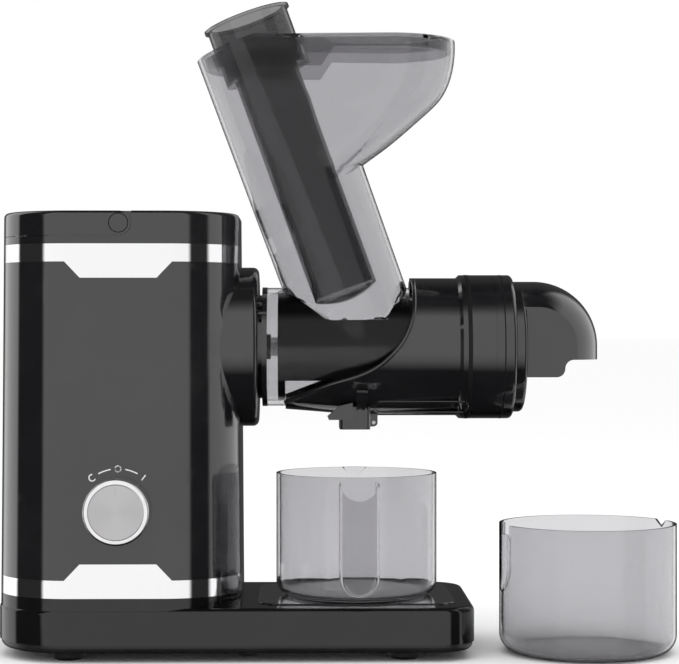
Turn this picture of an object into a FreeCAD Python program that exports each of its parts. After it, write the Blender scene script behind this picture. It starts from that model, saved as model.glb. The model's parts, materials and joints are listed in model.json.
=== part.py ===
import FreeCAD
import Part
import math
import os

# Horizontal slow juicer, in millimetres. The front is -Y and the drum points to +X.
# Every size below can be set by itself. All pieces are worked out from these values
# and are moved together at the end, so that the origin is the bottom centre of the set.

# Clearances
GAP = 0.3              # between pieces that move past each other
FIT_GAP = 0.05         # radial, in a running fit
SEAT_GAP = 0.1         # between pieces that seat on each other and stay put
WALL = 2.5             # moulded walls

# Motor tower
TOWER_RIGHT = -61.7
TOWER_WIDTH = 160.3
TOWER_DEPTH = 142.0
TOWER_CORNER = 50.0
TOWER_TOP = 292.0
TOWER_DRAFT = 0.0076   # inward lean of the walls, per mm of height
TOWER_WALL = 3.0
CAP_HEIGHT = 21.4
BAND_HEIGHT = 11.6
NOTCH_DEPTH = 10.5     # the trapezium that each bright band dips by, front and back
NOTCH_WIDTH = 49.5
NOTCH_SLOPE = 10.0
PANEL_SHIFT = 1.5      # the knob and the notches stand this much right of the middle
REAR_SPLIT_Y = 38.0    # the rear cover is all of the shell behind this plane

# Screws and air slots
SCREW_RADIUS = 1.8
SCREW_HEAD = 3.4
SCREW_SINK = 1.6
SCREW_LENGTH = 4.5
CROSS_LENGTH = 4.4     # the cross cut in a screw's head
CROSS_WIDTH = 0.8
CROSS_DEPTH = 0.7
SCREW_FROM_FOOT = 26.0
REAR_SCREW_SPREAD = 0.8  # share of the flat half-width of the tower's back
REAR_SCREW_RISE = 36.0
VENT_SLOTS = 8
VENT_WIDTH = 3.0
VENT_PITCH = 7.0
VENT_LENGTH = 46.0
VENT_DROP = 20.0       # from the drive axis down to the lowest rear slot

# Cord gland, without its cord
GLAND_RADIUS = 6.0
GLAND_LIP = 8.0
GLAND_BORE = 3.6
GLAND_Z = 78.0
GLAND_PROUD = 2.4
GLAND_ROUND = 1.4
GLAND_INNER = 3.2

# Base and tray
BASE_RIGHT = 91.0
BASE_OVERHANG = 0.9    # how far the base stands out round the tower
TRAY_TOP = 35.2
PLINTH_HEIGHT = 6.6
BASE_BOTTOM = 11.5
COVER_BOTTOM = 6.0
BASE_CORNER_RIGHT = 24.0
TRAY_EDGE = 4.0
PAD_LENGTH = 130.0
PAD_DEPTH = 108.0
PAD_CORNER = 16.0
PAD_RISE = 0.8
PAD_CENTRE_X = 14.0
PAD_BEVEL = 0.56

# Feet
FOOT_RADIUS = 10.9
FOOT_LEFT_X = -174.2
FOOT_RIGHT_X = 45.3
FOOT_Y = 50.0
STUD_FOOT_RADIUS = 8.0
STUD_FOOT_X = -57.2
STUD_FOOT_LIFT = 2.6
STUD_FOOT_ROUND = 1.2
FOOT_BEVEL = 2.2

# Folding handle
HANDLE_HEIGHT = 16.0
HANDLE_THICK = 6.0
PIVOT_RADIUS = 6.4
PIVOT_CORE_RADIUS = 3.0
PIVOT_BEVEL = 0.5
TOP_ROUND = 3.0

# Control knob
KNOB_Z = 98.6
KNOB_RADIUS = 21.3
KNOB_FACE_RADIUS = 18.0
KNOB_LENGTH = 16.0
KNOB_SHAFT_RADIUS = 3.0
KNOB_ROUND = 1.6
KNOB_FRONT_THICK = 4.5
KNOB_SHAFT_REACH = 12.0
FACE_SINK = 1.2
FACE_PROUD = 0.6
FACE_BEVEL = 0.4
INDEX_WIDTH = 1.2
INDEX_DEPTH = 0.4
INDEX_FROM = 0.62      # shares of the face's radius
INDEX_TO = 0.92
SWITCH_SIZE = 26.0
SWITCH_DEPTH = 17.0
SWITCH_TABS = 4
SWITCH_TAB = (1.8, 6.0, 4.0)  # thick, long, tall
SWITCH_TAB_PITCH = 6.0
SWITCH_TAB_START = -9.0

# Drive axis and hub
AXIS_Z = 203.5
HUB_RADIUS = 53.7
HUB_FACE_X = -51.0
HUB_BACK_X = -80.0
HUB_EDGE = 4.0
NECK_RADIUS = 35.0
NECK_DEPTH = 11.5
LUG_REACH = 3.2
LUG_LENGTH = 4.0
LUG_ANGLE = 24.0
LUG_COUNT = 3
LUG_SIDE_ROOM = 2.0    # degrees
UNLOCK_ANGLE = 30.0

# Gear train
MODULE = 1.25
PINION_TEETH = 17
WHEEL_TEETH = 51
OUTPUT_TEETH = 68
PRESSURE_ANGLE = 20.0
BACKLASH = 0.16
DEDENDUM = 1.25        # in modules
GEAR_WIDTH = 8.0
GEAR_STEP = 10.0       # from one stage to the next
OUTPUT_GEAR_X = -94.0
OUTPUT_SHAFT_RADIUS = 9.0
IDLER_AXLE_RADIUS = 3.0
IDLER_CORE_RADIUS = 7.0
MOTOR_SHAFT_RADIUS = 4.0
BEARING_WIDTH = 7.0
BEARING_RADIUS = 16.0
BEARING_BALLS = 9
WEB_HOLES = 6          # the lightening holes of the output gear
WEB_HOLE_RADIUS = 6.0
WEB_HOLE_PLACE = 0.6   # share of the pitch radius
BOX_WALL = 2.5         # gearbox
BOX_END_GAP = 1.6
BOX_ROOM = 4.0
DRIVE_RECESS = 3.0     # from the hub's face back to the end of the output shaft
SOCKET_DEPTH = 16.0

# Motor
MOTOR_RADIUS = 38.0
MOTOR_LENGTH = 74.0
ROTOR_RADIUS = 22.0
STATOR_BORE = 22.6
MOTOR_VENTS = 8
MOTOR_VENT_RADIUS = 5.0
MOTOR_VENT_INSET = 11.0
STATOR_INSET = 16.0
BRUSH_DEPTH = 5.0
BRUSH_HEIGHT = 14.0
ROTOR_INSET = 14.0
ROTOR_SLOTS = 12
ROTOR_SLOT_RADIUS = 2.0
COMMUTATOR_RADIUS = 11.0
COMMUTATOR_LENGTH = 9.0
MOTOR_TAIL = 14.0
FAN_RADIUS = 33.0
FAN_BLADES = 9
FAN_GAP = 3.0
FAN_WIDTH = 10.0
FAN_HUB_RADIUS = 9.0
FAN_DISC_THICK = 1.5
FAN_BLADE_THICK = 1.6

# Circuit board, from the tower's middle, the rear cover's front and the drive axis
BOARD_PLACE = (-52.0, -6.0, 8.0, 9.6, -30.0, 30.0)
BOARD_PARTS = [(-28.0, -12.0, -6.0, 8.0, 4.0, 22.0), (-46.0, -30.0, -7.0, 8.0, -22.0, -6.0),
               (-24.0, -10.0, -10.0, 8.0, -24.0, -16.0)]
CAPACITOR = (7.0, -14.0, 8.0, -38.0, 12.0)

# Drum
FLANGE_RADIUS = 40.3
FLANGE_THICK = 3.4
FLANGE_X = -48.6
PEG_RADIUS = 1.6       # the locking mark on the flange
PEG_REACH = 39.8
PEG_ANGLE = 146.0
SEAL_RADIUS = 10.5
SEAL_BORE = 7.0
SEAL_LIP = 1.4
SEAL_LIP_LENGTH = 2.0
BARREL_RADIUS = 40.0
BARREL_WALL = 3.2
BARREL_END_X = 50.0
BODY_START_X = -33.0
BODY_START_RADIUS = 42.2
BODY_RADIUS = 46.6
BODY_SWELL_X = 21.0
BODY_END_X = 86.4
COLLAR_STEP = 2.1      # how far the collar and the nut stand out from the body
COLLAR_END_X = 106.5
BODY_WALL = 3.2
COLLAR_RUN = 4.0       # from the collar's slope to the body's end
SEAM_MARGIN = 10.0
SEAM = [(-60.0, 154.6), (-30.6, 167.6), (-10.6, 176.8), (5.4, 180.9), (25.4, 187.3),
        (37.1, 197.9), (45.2, 207.1), (49.8, 217.6), (52.8, 228.0), (52.9, 240.0),
        (48.0, 262.0)]

# Feed guide, strainer and auger
GUIDE_RADIUS = 36.4
GUIDE_START_X = -38.0
GUIDE_END_X = 58.0
GUIDE_TOP_Z = 221.5
WINDOW_Z = 181.6
WINDOW_START_X = -33.3
WINDOW_END_X = 24.0
AUGER_RADIUS = 19.5
AUGER_CORE_START = 8.0
AUGER_CORE_END = 13.0
AUGER_PITCH = 24.0
AUGER_END_X = 104.0
AUGER_CLEARANCE = 0.6
FLIGHT_ROOT = 4.6
FLIGHT_TIP = 2.2
HEX_FLATS = 11.0
HEX_GAP = 0.15
STRAINER_WALL = 0.5
STRAINER_RIB = 3.2
STRAINER_SLOTS = 12
STRAINER_SLOT_WIDTH = 1.0
STRAINER_MARGIN = 6.0  # of plain sheet at each end
STRAINER_RING = 5.0
STRAINER_RIBS = 8
STRAINER_RIB_WIDTH = 3.0
SPOKE_WIDTH = 8.0
RIM_THICK = 3.0        # of the rims that centre the guide and the strainer in the body
RIM_WIDTH = 4.0
GUIDE_BACK = 3.4       # the guide's wall round the auger's root
ROOT_GAP = 0.4
AUGER_DISC = 2.5
SOCKET_REACH = 18.0
TIP_END_X = 116.0

# Chute, hopper, lid and pusher
CHUTE_TILT = 20.0
CHUTE_RADIUS = 41.4    # at the rim
CHUTE_FOOT_RADIUS = 39.4  # where the chute's axis meets the drum's axis
CHUTE_WALL = 2.5
CHUTE_FOOT_X = 21.4    # where the chute's axis meets the drum's axis
RIM_Z = 410.6
SCOOP_ROOT = 3.0       # how far the trough's walls start inside the chute
SCOOP_POINTS = 9
MOUTH_RISE = 20.0      # how far the hopper's inside runs up past its rim
# Level sections: below the rim, right end, centre of the round end, half depth
SCOOP_LEVELS = [(-8.0, 80.6, 37.0, 45.9), (4.0, 82.0, 35.0, 45.5), (16.0, 81.1, 32.5, 44.9),
                (28.0, 78.1, 29.5, 44.2), (40.0, 71.5, 25.0, 43.5), (52.0, 59.2, 18.8, 42.2),
                (64.0, 45.5, 11.5, 41.5), (76.0, 30.4, 2.5, 40.6), (88.0, 15.0, -8.0, 39.4)]
LID_GAP = 0.5
LID_WALL = 2.0
LID_SKIRT = 8.6
LID_COLLAR = 21.0
LID_COLLAR_X = -9.0
LID_SLOPE = 8.0
LID_MARGIN = 5.0
SLEEVE_DROP = 4.0
SLEEVE_RISE = 10.0
PUSHER_FLANGE_RADIUS = 30.2
PUSHER_UPPER_RADIUS = 28.3
PUSHER_RADIUS = 22.2
PUSHER_STANDS = 17.0
PUSHER_STEP = 24.0
PUSHER_REACH = 181.0
PUSHER_WALL = 2.2
PUSHER_DOME = 6.0
PUSHER_FLANGE_THICK = 2.0

# Juice outlet and its drip cap
OUTLET_X = 15.6
OUTLET_RADIUS = 7.5
OUTLET_BORE = 5.0
OUTLET_DROP = 2.4
CAP_WIDTH = 20.4
CAP_FRONT_Y = -27.0
CAP_BACK_Y = 12.0
CAP_BELOW = 8.5        # from the body's lowest line
CAP_ABOVE = 6.6
CAP_PIN_X = 26.6
CAP_PIN_BELOW = 4.6
CAP_PIN_RADIUS = 1.2
KNUCKLE_RADIUS = 2.6
LUG_THICK = 3.0
LUG_PLACE = 6.0
LATCH_WIDTH = 7.5
LATCH_ABOVE = 18.3
LATCH_THICK = 2.8
LATCH_INSET = 2.0
CAP_CLEARANCE = 0.6
CAP_LEFT_SHARE = 0.6   # of the cap's width that lies left of the outlet
CAP_CORNER = 3.0
CAP_POCKET_GAP = 1.6
GRIP_RIBS = 4
GRIP_RIB_START = 3.4
GRIP_RIB_PITCH = 4.4
GRIP_RIB_WIDTH = 1.8
WEDGE_REACH = 8.4
WEDGE_DEPTH = 6.0

# End cap, spout and ring nut
NUT_END_X = 120.2
NUT_LIP = 3.2
CAP_INSET = 2.4        # from the body's radius
CAP_FLANGE_INSET = 1.0
SPOUT_HALF_WIDTH = 35.0
SPOUT_BEND_X = 135.3
SPOUT_INSET = 0.7      # from the end cap's radius
SPOUT_LOW_Z = 183.4
SPOUT_HIGH_Z = 195.0
SPOUT_STEP_X = 153.0
CAP_RIM_END_X = 127.5
BUSH_RADIUS = 8.0
TIP_RADIUS = 5.0
CAP_FLANGE_THICK = 4.2
CAP_ROUND = 3.0
NUT_ROUND = 3.0
NUT_GAP = 0.2
PULP_EXIT = 40.0
BOSS_LENGTH = 4.0

# Juice jug
JUG_RADIUS = 54.4
JUG_HEIGHT = 82.0
JUG_WALL = 2.2
JUG_FOOT_ROUND = 9.0
JUG_X = 15.1
JUG_GRIP_WIDTH = 26.0
JUG_GRIP_REACH = 25.0
JUG_GRIP_BOTTOM = 42.5
JUG_GRIP_TOP = 115.5
JUG_GRIP_ROUND = 3.0
JUG_LIFT = 0.2
JUG_LIP = (3.0, 11.0, 14.0)  # low radius, high radius, height
JUG_LIP_INSET = 7.4
JUG_LIP_WALL = 1.8
JUG_DIP_SHARE = 0.7    # of the grip's reach that its dipped rim takes

# Pulp container
BIN_RADIUS = 59.0
BIN_HEIGHT = 86.0
BIN_WALL = 2.2
BIN_FOOT_ROUND = 13.0
BIN_X = 169.0
BIN_Y = -26.0
FLUTE_RADIUS = 26.0
FLUTE_DEPTH = 5.0
FLUTE_BOTTOM = 45.0
NOTCH_DROP = 8.0
NOTCH_HALF = 13.0
FLUTE_ANGLE = 186.0
FLUTE_RISE = 12.0
BEAK_ANGLE = 22.0
BEAK = (0.5, 12.0, 9.0)  # low radius, high radius, height
BEAK_START = 5.0

# Worked out from the sizes above
BODY_LOW_Z = AXIS_Z - BODY_RADIUS
COLLAR_RADIUS = BODY_RADIUS + COLLAR_STEP
CAP_BOTTOM_Z = BODY_LOW_Z - CAP_BELOW
CAP_TOP_Z = BODY_LOW_Z + CAP_ABOVE
CAP_PIN_Z = BODY_LOW_Z - CAP_PIN_BELOW
LATCH_TOP_Z = BODY_LOW_Z + LATCH_ABOVE
CAP_RADIUS = BODY_RADIUS - CAP_INSET
CAP_FLANGE_RADIUS = BODY_RADIUS - CAP_FLANGE_INSET
SPOUT_BEND_RADIUS = CAP_RADIUS - SPOUT_INSET
TOWER_LEFT = TOWER_RIGHT - TOWER_WIDTH
PANEL_X = TOWER_LEFT + TOWER_WIDTH / 2 + PANEL_SHIFT
PLINTH_TOP = TRAY_TOP + PLINTH_HEIGHT
LOWER_BAND_TOP = PLINTH_TOP + BAND_HEIGHT
CAP_BOTTOM = TOWER_TOP - CAP_HEIGHT
UPPER_BAND_BOTTOM = CAP_BOTTOM - BAND_HEIGHT
TOWER_MIDDLE = TOWER_LEFT + TOWER_WIDTH / 2
PIVOT_Z = TOWER_TOP - HANDLE_HEIGHT / 2
IDLER_Z = AXIS_Z - MODULE * (OUTPUT_TEETH + PINION_TEETH) / 2
MOTOR_Z = IDLER_Z - MODULE * (WHEEL_TEETH + PINION_TEETH) / 2
TILT = math.radians(CHUTE_TILT)
CHUTE_AXIS = FreeCAD.Vector(-math.sin(TILT), 0, math.cos(TILT))
CHUTE_TOP_X = CHUTE_FOOT_X - (RIM_Z - AXIS_Z) * math.tan(TILT)
PAD_TOP = TRAY_TOP + PAD_RISE
SMALL = 1.0            # how far a cutter runs past the face it opens
TOUCH = 0.1            # how near an edge lies to the plane that it is picked by
FAR = 260.0            # past every piece


def box(x0, x1, y0, y1, z0, z1):
    return Part.makeBox(x1 - x0, y1 - y0, z1 - z0, FreeCAD.Vector(x0, y0, z0))


def rod_x(radius, x0, x1, y=0.0, z=AXIS_Z):
    start = FreeCAD.Vector(x0, y, z)
    return Part.makeCylinder(radius, x1 - x0, start, FreeCAD.Vector(1, 0, 0))


def rod_y(radius, y0, y1, x, z):
    start = FreeCAD.Vector(x, y0, z)
    return Part.makeCylinder(radius, y1 - y0, start, FreeCAD.Vector(0, 1, 0))


def rod_z(radius, z0, z1, x, y=0.0):
    start = FreeCAD.Vector(x, y, z0)
    return Part.makeCylinder(radius, z1 - z0, start, FreeCAD.Vector(0, 0, 1))


def ring_x(outer, inner, x0, x1, y=0.0, z=AXIS_Z):
    bore = rod_x(inner, x0 - SMALL, x1 + SMALL, y, z)
    return rod_x(outer, x0, x1, y, z).cut(bore)


def side_prism(points, y0, y1):
    """A polygon of (x, z) points, extruded along Y."""
    corners = [FreeCAD.Vector(x, y0, z) for x, z in points]
    face = Part.Face(Part.makePolygon(corners + corners[:1]))
    return face.extrude(FreeCAD.Vector(0, y1 - y0, 0))


def plan_wire(x0, x1, y0, y1, left_radius, right_radius, z):
    """A rectangle with round corners, seen from above."""
    turn = math.sqrt(0.5)
    corners = [(x0 + left_radius, y0 + left_radius, left_radius, -1, -1),
               (x1 - right_radius, y0 + right_radius, right_radius, 1, -1),
               (x1 - right_radius, y1 - right_radius, right_radius, 1, 1),
               (x0 + left_radius, y1 - left_radius, left_radius, -1, 1)]
    arcs = []
    for cx, cy, radius, sx, sy in corners:
        along_x = FreeCAD.Vector(cx + sx * radius, cy, z)
        along_y = FreeCAD.Vector(cx, cy + sy * radius, z)
        middle = FreeCAD.Vector(cx + sx * radius * turn, cy + sy * radius * turn, z)
        ends = (along_x, along_y) if sx * sy > 0 else (along_y, along_x)
        arcs.append(Part.Arc(ends[0], middle, ends[1]).toShape())
    edges = []
    for here, following in zip(arcs, arcs[1:] + arcs[:1]):
        edges.append(here)
        start = here.lastVertex(True).Point
        end = following.firstVertex(True).Point
        edges.append(Part.LineSegment(start, end).toShape())
    return Part.Wire(edges)


def plan_prism(x0, x1, y0, y1, left_radius, right_radius, z0, z1):
    face = Part.Face(plan_wire(x0, x1, y0, y1, left_radius, right_radius, z0))
    return face.extrude(FreeCAD.Vector(0, 0, z1 - z0))


def edges_at(shape, test):
    return [edge for edge in shape.Edges if test(edge.BoundBox)]


def tower_wire(z, inset):
    lean = TOWER_DRAFT * (z - PLINTH_TOP) + inset
    half = TOWER_DEPTH / 2 - lean
    radius = TOWER_CORNER - lean
    return plan_wire(TOWER_LEFT + lean, TOWER_RIGHT - lean, -half, half, radius, radius, z)


def tower_block(z0, z1, inset=0.0):
    return Part.makeLoft([tower_wire(z0, inset), tower_wire(z1, inset)], True, True)


def tower_ring(z0, z1, thick):
    inner = tower_block(z0 - SMALL, z1 + SMALL, thick)
    return tower_block(z0, z1).cut(inner)


def notch(z_wide, z_narrow):
    """The trapezium of a bright band, through the front and the back."""
    narrow = NOTCH_WIDTH / 2
    wide = narrow + NOTCH_SLOPE
    points = [(PANEL_X - wide, z_wide), (PANEL_X - narrow, z_narrow),
              (PANEL_X + narrow, z_narrow), (PANEL_X + wide, z_wide)]
    return side_prism(points, -TOWER_DEPTH, TOWER_DEPTH)


def lower_notch():
    return notch(LOWER_BAND_TOP, LOWER_BAND_TOP + NOTCH_DEPTH)


def upper_notch():
    return notch(UPPER_BAND_BOTTOM, UPPER_BAND_BOTTOM - NOTCH_DEPTH)


# ---- Base, tray and feet

def base_outline(z0, z1, inset=0.0):
    half = TOWER_DEPTH / 2 + BASE_OVERHANG - inset
    left = TOWER_LEFT - BASE_OVERHANG + inset
    left_radius = TOWER_CORNER + BASE_OVERHANG - inset
    right_radius = BASE_CORNER_RIGHT - inset
    return plan_prism(left, BASE_RIGHT - inset, -half, half, left_radius, right_radius, z0, z1)


def base_shell():
    shell = base_outline(BASE_BOTTOM, TRAY_TOP)
    top = edges_at(shell, lambda b: b.ZMin > TRAY_TOP - TOUCH)
    shell = shell.makeFillet(TRAY_EDGE, top)
    shell = shell.cut(base_outline(BASE_BOTTOM - SMALL, TRAY_TOP - TOWER_WALL, TOWER_WALL))
    plinth = tower_block(TRAY_TOP - TRAY_EDGE, PLINTH_TOP)
    shell = shell.fuse(plinth)
    shell = shell.cut(tower_block(BASE_BOTTOM - SMALL, PLINTH_TOP + SMALL, TOWER_WALL + SMALL))
    return shell.removeSplitter()


def tray_pad():
    x0 = PAD_CENTRE_X - PAD_LENGTH / 2
    y0 = -PAD_DEPTH / 2
    pad = plan_prism(x0, x0 + PAD_LENGTH, y0, -y0, PAD_CORNER, PAD_CORNER, TRAY_TOP, PAD_TOP)
    top = edges_at(pad, lambda b: b.ZMin > PAD_TOP - TOUCH)
    return pad.makeChamfer(PAD_BEVEL, top)


def bottom_cover():
    cover = base_outline(COVER_BOTTOM, BASE_BOTTOM, SMALL)
    low = edges_at(cover, lambda b: b.ZMax < COVER_BOTTOM + TOUCH)
    cover = cover.makeFillet(BASE_BOTTOM - COVER_BOTTOM - SMALL, low)
    floor = COVER_BOTTOM + WALL
    sunk = COVER_BOTTOM + SCREW_SINK
    cover = cover.cut(base_outline(floor, BASE_BOTTOM + SMALL, TRAY_EDGE + SMALL))
    for x, y in screw_places():
        cover = cover.cut(rod_z(SCREW_HEAD + FIT_GAP, COVER_BOTTOM - SMALL, sunk, x, y))
        cover = cover.cut(rod_z(SCREW_RADIUS, COVER_BOTTOM, BASE_BOTTOM, x, y))
    for index in range(VENT_SLOTS):
        x = PANEL_X + (index - (VENT_SLOTS - 1) / 2) * VENT_PITCH
        slot = box(x - VENT_WIDTH / 2, x + VENT_WIDTH / 2, -VENT_LENGTH / 2, VENT_LENGTH / 2,
                   COVER_BOTTOM - SMALL, floor + SMALL)
        cover = cover.cut(slot)
    return cover


def screw_places():
    left = FOOT_LEFT_X + SCREW_FROM_FOOT
    right = FOOT_RIGHT_X - SCREW_FROM_FOOT
    return [(left, FOOT_Y), (left, -FOOT_Y), (right, FOOT_Y), (right, -FOOT_Y)]


def screw_along(start, direction):
    """A pan-head screw whose head's outer face is at start and that points along direction."""
    head = Part.makeCylinder(SCREW_HEAD, SCREW_SINK, start, direction)
    under = start + direction * SCREW_SINK
    shank = Part.makeCylinder(SCREW_RADIUS, SCREW_LENGTH, under, direction)
    long = CROSS_LENGTH / 2
    half = CROSS_WIDTH / 2
    cross = box(-long, long, -half, half, -CROSS_DEPTH, CROSS_DEPTH)
    cross = cross.fuse(box(-half, half, -long, long, -CROSS_DEPTH, CROSS_DEPTH))
    turn = FreeCAD.Rotation(FreeCAD.Vector(0, 0, 1), direction)
    cross.Placement = FreeCAD.Placement(start, turn)
    return head.fuse(shank).cut(cross)


def base_screws():
    up = FreeCAD.Vector(0, 0, 1)
    screws = [screw_along(FreeCAD.Vector(x, y, COVER_BOTTOM), up) for x, y in screw_places()]
    return Part.makeCompound(screws)


def foot(x, y):
    shape = rod_z(FOOT_RADIUS, 0.0, COVER_BOTTOM, x, y)
    low = edges_at(shape, lambda b: b.ZMax < TOUCH)
    return shape.makeChamfer(FOOT_BEVEL, low)


def stud_feet():
    studs = []
    for y in (-FOOT_Y, FOOT_Y):
        stud = rod_z(STUD_FOOT_RADIUS, STUD_FOOT_LIFT, COVER_BOTTOM, STUD_FOOT_X, y)
        low = edges_at(stud, lambda b: b.ZMax < STUD_FOOT_LIFT + TOUCH)
        studs.append(stud.makeFillet(STUD_FOOT_ROUND, low))
    return Part.makeCompound(studs)


# ---- Tower shells, bands, cap and handle

def lower_band():
    ring = tower_ring(PLINTH_TOP, LOWER_BAND_TOP + NOTCH_DEPTH, TOWER_WALL)
    below = box(TOWER_LEFT - SMALL, TOWER_RIGHT + SMALL, -TOWER_DEPTH, TOWER_DEPTH,
                PLINTH_TOP - SMALL, LOWER_BAND_TOP)
    return ring.common(below.fuse(lower_notch()))


def upper_band():
    ring = tower_ring(UPPER_BAND_BOTTOM - NOTCH_DEPTH, CAP_BOTTOM, TOWER_WALL)
    above = box(TOWER_LEFT - SMALL, TOWER_RIGHT + SMALL, -TOWER_DEPTH, TOWER_DEPTH,
                UPPER_BAND_BOTTOM, CAP_BOTTOM + SMALL)
    return ring.common(above.fuse(upper_notch()))


def housing():
    ring = tower_ring(LOWER_BAND_TOP, UPPER_BAND_BOTTOM, TOWER_WALL)
    return ring.cut(lower_notch()).cut(upper_notch())


def tower_shell():
    front = box(TOWER_LEFT - SMALL, TOWER_RIGHT + SMALL, -TOWER_DEPTH, REAR_SPLIT_Y - GAP,
                PLINTH_TOP, TOWER_TOP)
    shell = housing().common(front)
    shell = shell.cut(rod_x(HUB_RADIUS + FIT_GAP, HUB_BACK_X, HUB_FACE_X))
    shaft_hole = rod_y(KNOB_SHAFT_RADIUS + GAP, -TOWER_DEPTH, 0.0, PANEL_X, KNOB_Z)
    return shell.cut(shaft_hole)


def rear_screw_places():
    reach = (TOWER_WIDTH / 2 - TOWER_CORNER) * REAR_SCREW_SPREAD
    left = TOWER_MIDDLE - reach
    right = TOWER_MIDDLE + reach
    high = AXIS_Z + REAR_SCREW_RISE
    return [(left, KNOB_Z), (right, KNOB_Z), (left, high), (right, high)]


def rear_face_y(z):
    return TOWER_DEPTH / 2 - TOWER_DRAFT * (z - PLINTH_TOP)


def rear_cover():
    back = box(TOWER_LEFT - SMALL, TOWER_RIGHT + SMALL, REAR_SPLIT_Y, TOWER_DEPTH,
               PLINTH_TOP, TOWER_TOP)
    cover = housing().common(back)
    cover = cover.cut(rod_x(HUB_RADIUS + FIT_GAP, HUB_BACK_X, HUB_FACE_X))
    for index in range(VENT_SLOTS):
        z = AXIS_Z - VENT_DROP + index * VENT_PITCH
        slot = box(TOWER_MIDDLE - VENT_LENGTH / 2, TOWER_MIDDLE + VENT_LENGTH / 2,
                   REAR_SPLIT_Y, TOWER_DEPTH, z - VENT_WIDTH / 2, z + VENT_WIDTH / 2)
        cover = cover.cut(slot)
    for x, z in rear_screw_places():
        sunk = rear_face_y(z) - SCREW_SINK
        cover = cover.cut(rod_y(SCREW_HEAD + FIT_GAP, sunk, TOWER_DEPTH, x, z))
        cover = cover.cut(rod_y(SCREW_RADIUS, REAR_SPLIT_Y, TOWER_DEPTH, x, z))
    return cover.cut(rod_y(GLAND_RADIUS, REAR_SPLIT_Y, TOWER_DEPTH, TOWER_MIDDLE, GLAND_Z))


def cover_screws():
    inward = FreeCAD.Vector(0, -1, 0)
    screws = []
    for x, z in rear_screw_places():
        screws.append(screw_along(FreeCAD.Vector(x, rear_face_y(z), z), inward))
    return Part.makeCompound(screws)


def cord_gland():
    face = rear_face_y(GLAND_Z)
    behind = face - TOWER_WALL - GAP
    body = rod_y(GLAND_RADIUS, behind, face + GLAND_PROUD / 2, TOWER_MIDDLE, GLAND_Z)
    lip = rod_y(GLAND_LIP, face + SEAT_GAP, face + GLAND_PROUD, TOWER_MIDDLE, GLAND_Z)
    outer = edges_at(lip, lambda b: b.YMin > face + GLAND_PROUD - TOUCH)
    lip = lip.makeFillet(GLAND_ROUND, outer)
    inner = rod_y(GLAND_LIP, behind - GLAND_INNER, behind, TOWER_MIDDLE, GLAND_Z)
    bore = rod_y(GLAND_BORE, 0.0, TOWER_DEPTH, TOWER_MIDDLE, GLAND_Z)
    return body.fuse(lip).fuse(inner).cut(bore)


def handle_zone(radius, low, high, side_clear):
    """The region round the pivots that the folded handle fills, seen from the front."""
    left = box(TOWER_LEFT - HANDLE_THICK, PANEL_X, -TOWER_DEPTH, TOWER_DEPTH, low, high)
    end = rod_y(radius, -TOWER_DEPTH, TOWER_DEPTH, PANEL_X, PIVOT_Z)
    zone = left.fuse(end)
    if side_clear:
        zone = zone.fuse(box(PANEL_X - SMALL, PANEL_X + radius, -TOWER_DEPTH, TOWER_DEPTH,
                             PIVOT_Z, high))
    return zone


def top_cap():
    cap = tower_block(CAP_BOTTOM, TOWER_TOP)
    rim = edges_at(cap, lambda b: b.ZMin > TOWER_TOP - TOUCH)
    cap = cap.makeFillet(TOP_ROUND, rim)
    hollow = HANDLE_THICK + 2 * GAP + TOWER_WALL
    cap = cap.cut(tower_block(CAP_BOTTOM - SMALL, CAP_BOTTOM + WALL, TOWER_WALL))
    cap = cap.cut(tower_block(CAP_BOTTOM, TOWER_TOP - TOWER_WALL, hollow))
    radius = HANDLE_HEIGHT / 2 + GAP
    outside = tower_block(CAP_BOTTOM - SMALL, TOWER_TOP + SMALL, -SMALL)
    core = tower_block(CAP_BOTTOM - 2 * SMALL, TOWER_TOP + 2 * SMALL, HANDLE_THICK + GAP)
    zone = handle_zone(radius, PIVOT_Z - radius, TOWER_TOP + SMALL, True)
    cap = cap.cut(outside.cut(core).common(zone))
    pins = rod_y(PIVOT_CORE_RADIUS, -TOWER_DEPTH / 2, TOWER_DEPTH / 2, PANEL_X, PIVOT_Z)
    return cap.cut(pins)


def carry_handle():
    outside = tower_block(CAP_BOTTOM, TOWER_TOP)
    rim = edges_at(outside, lambda b: b.ZMin > TOWER_TOP - TOUCH)
    outside = outside.makeFillet(TOP_ROUND, rim)
    core = tower_block(CAP_BOTTOM - SMALL, TOWER_TOP + SMALL, HANDLE_THICK)
    radius = HANDLE_HEIGHT / 2
    zone = handle_zone(radius, PIVOT_Z - radius, TOWER_TOP + SMALL, False)
    band = outside.cut(core).common(zone)
    pins = rod_y(PIVOT_RADIUS + FIT_GAP, -TOWER_DEPTH, TOWER_DEPTH, PANEL_X, PIVOT_Z)
    return band.cut(pins)


def handle_pin(side):
    """One pivot: a wide disc in the handle's eye and a core in the cap's wall."""
    face = rear_face_y(PIVOT_Z)
    inner = face - HANDLE_THICK
    disc = rod_y(PIVOT_RADIUS, inner, face - SEAT_GAP, PANEL_X, PIVOT_Z)
    outer = edges_at(disc, lambda b: b.YMin > face - SEAT_GAP - TOUCH)
    disc = disc.makeChamfer(PIVOT_BEVEL, outer)
    core = rod_y(PIVOT_CORE_RADIUS, inner - TOWER_WALL, inner, PANEL_X, PIVOT_Z)
    pin = disc.fuse(core).removeSplitter()
    if side < 0:
        pin = pin.mirror(FreeCAD.Vector(0, 0, 0), FreeCAD.Vector(0, 1, 0))
    return pin


# ---- Control knob and switch

def knob_front_y():
    """The tower's front face at the knob."""
    return -rear_face_y(KNOB_Z)


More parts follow.
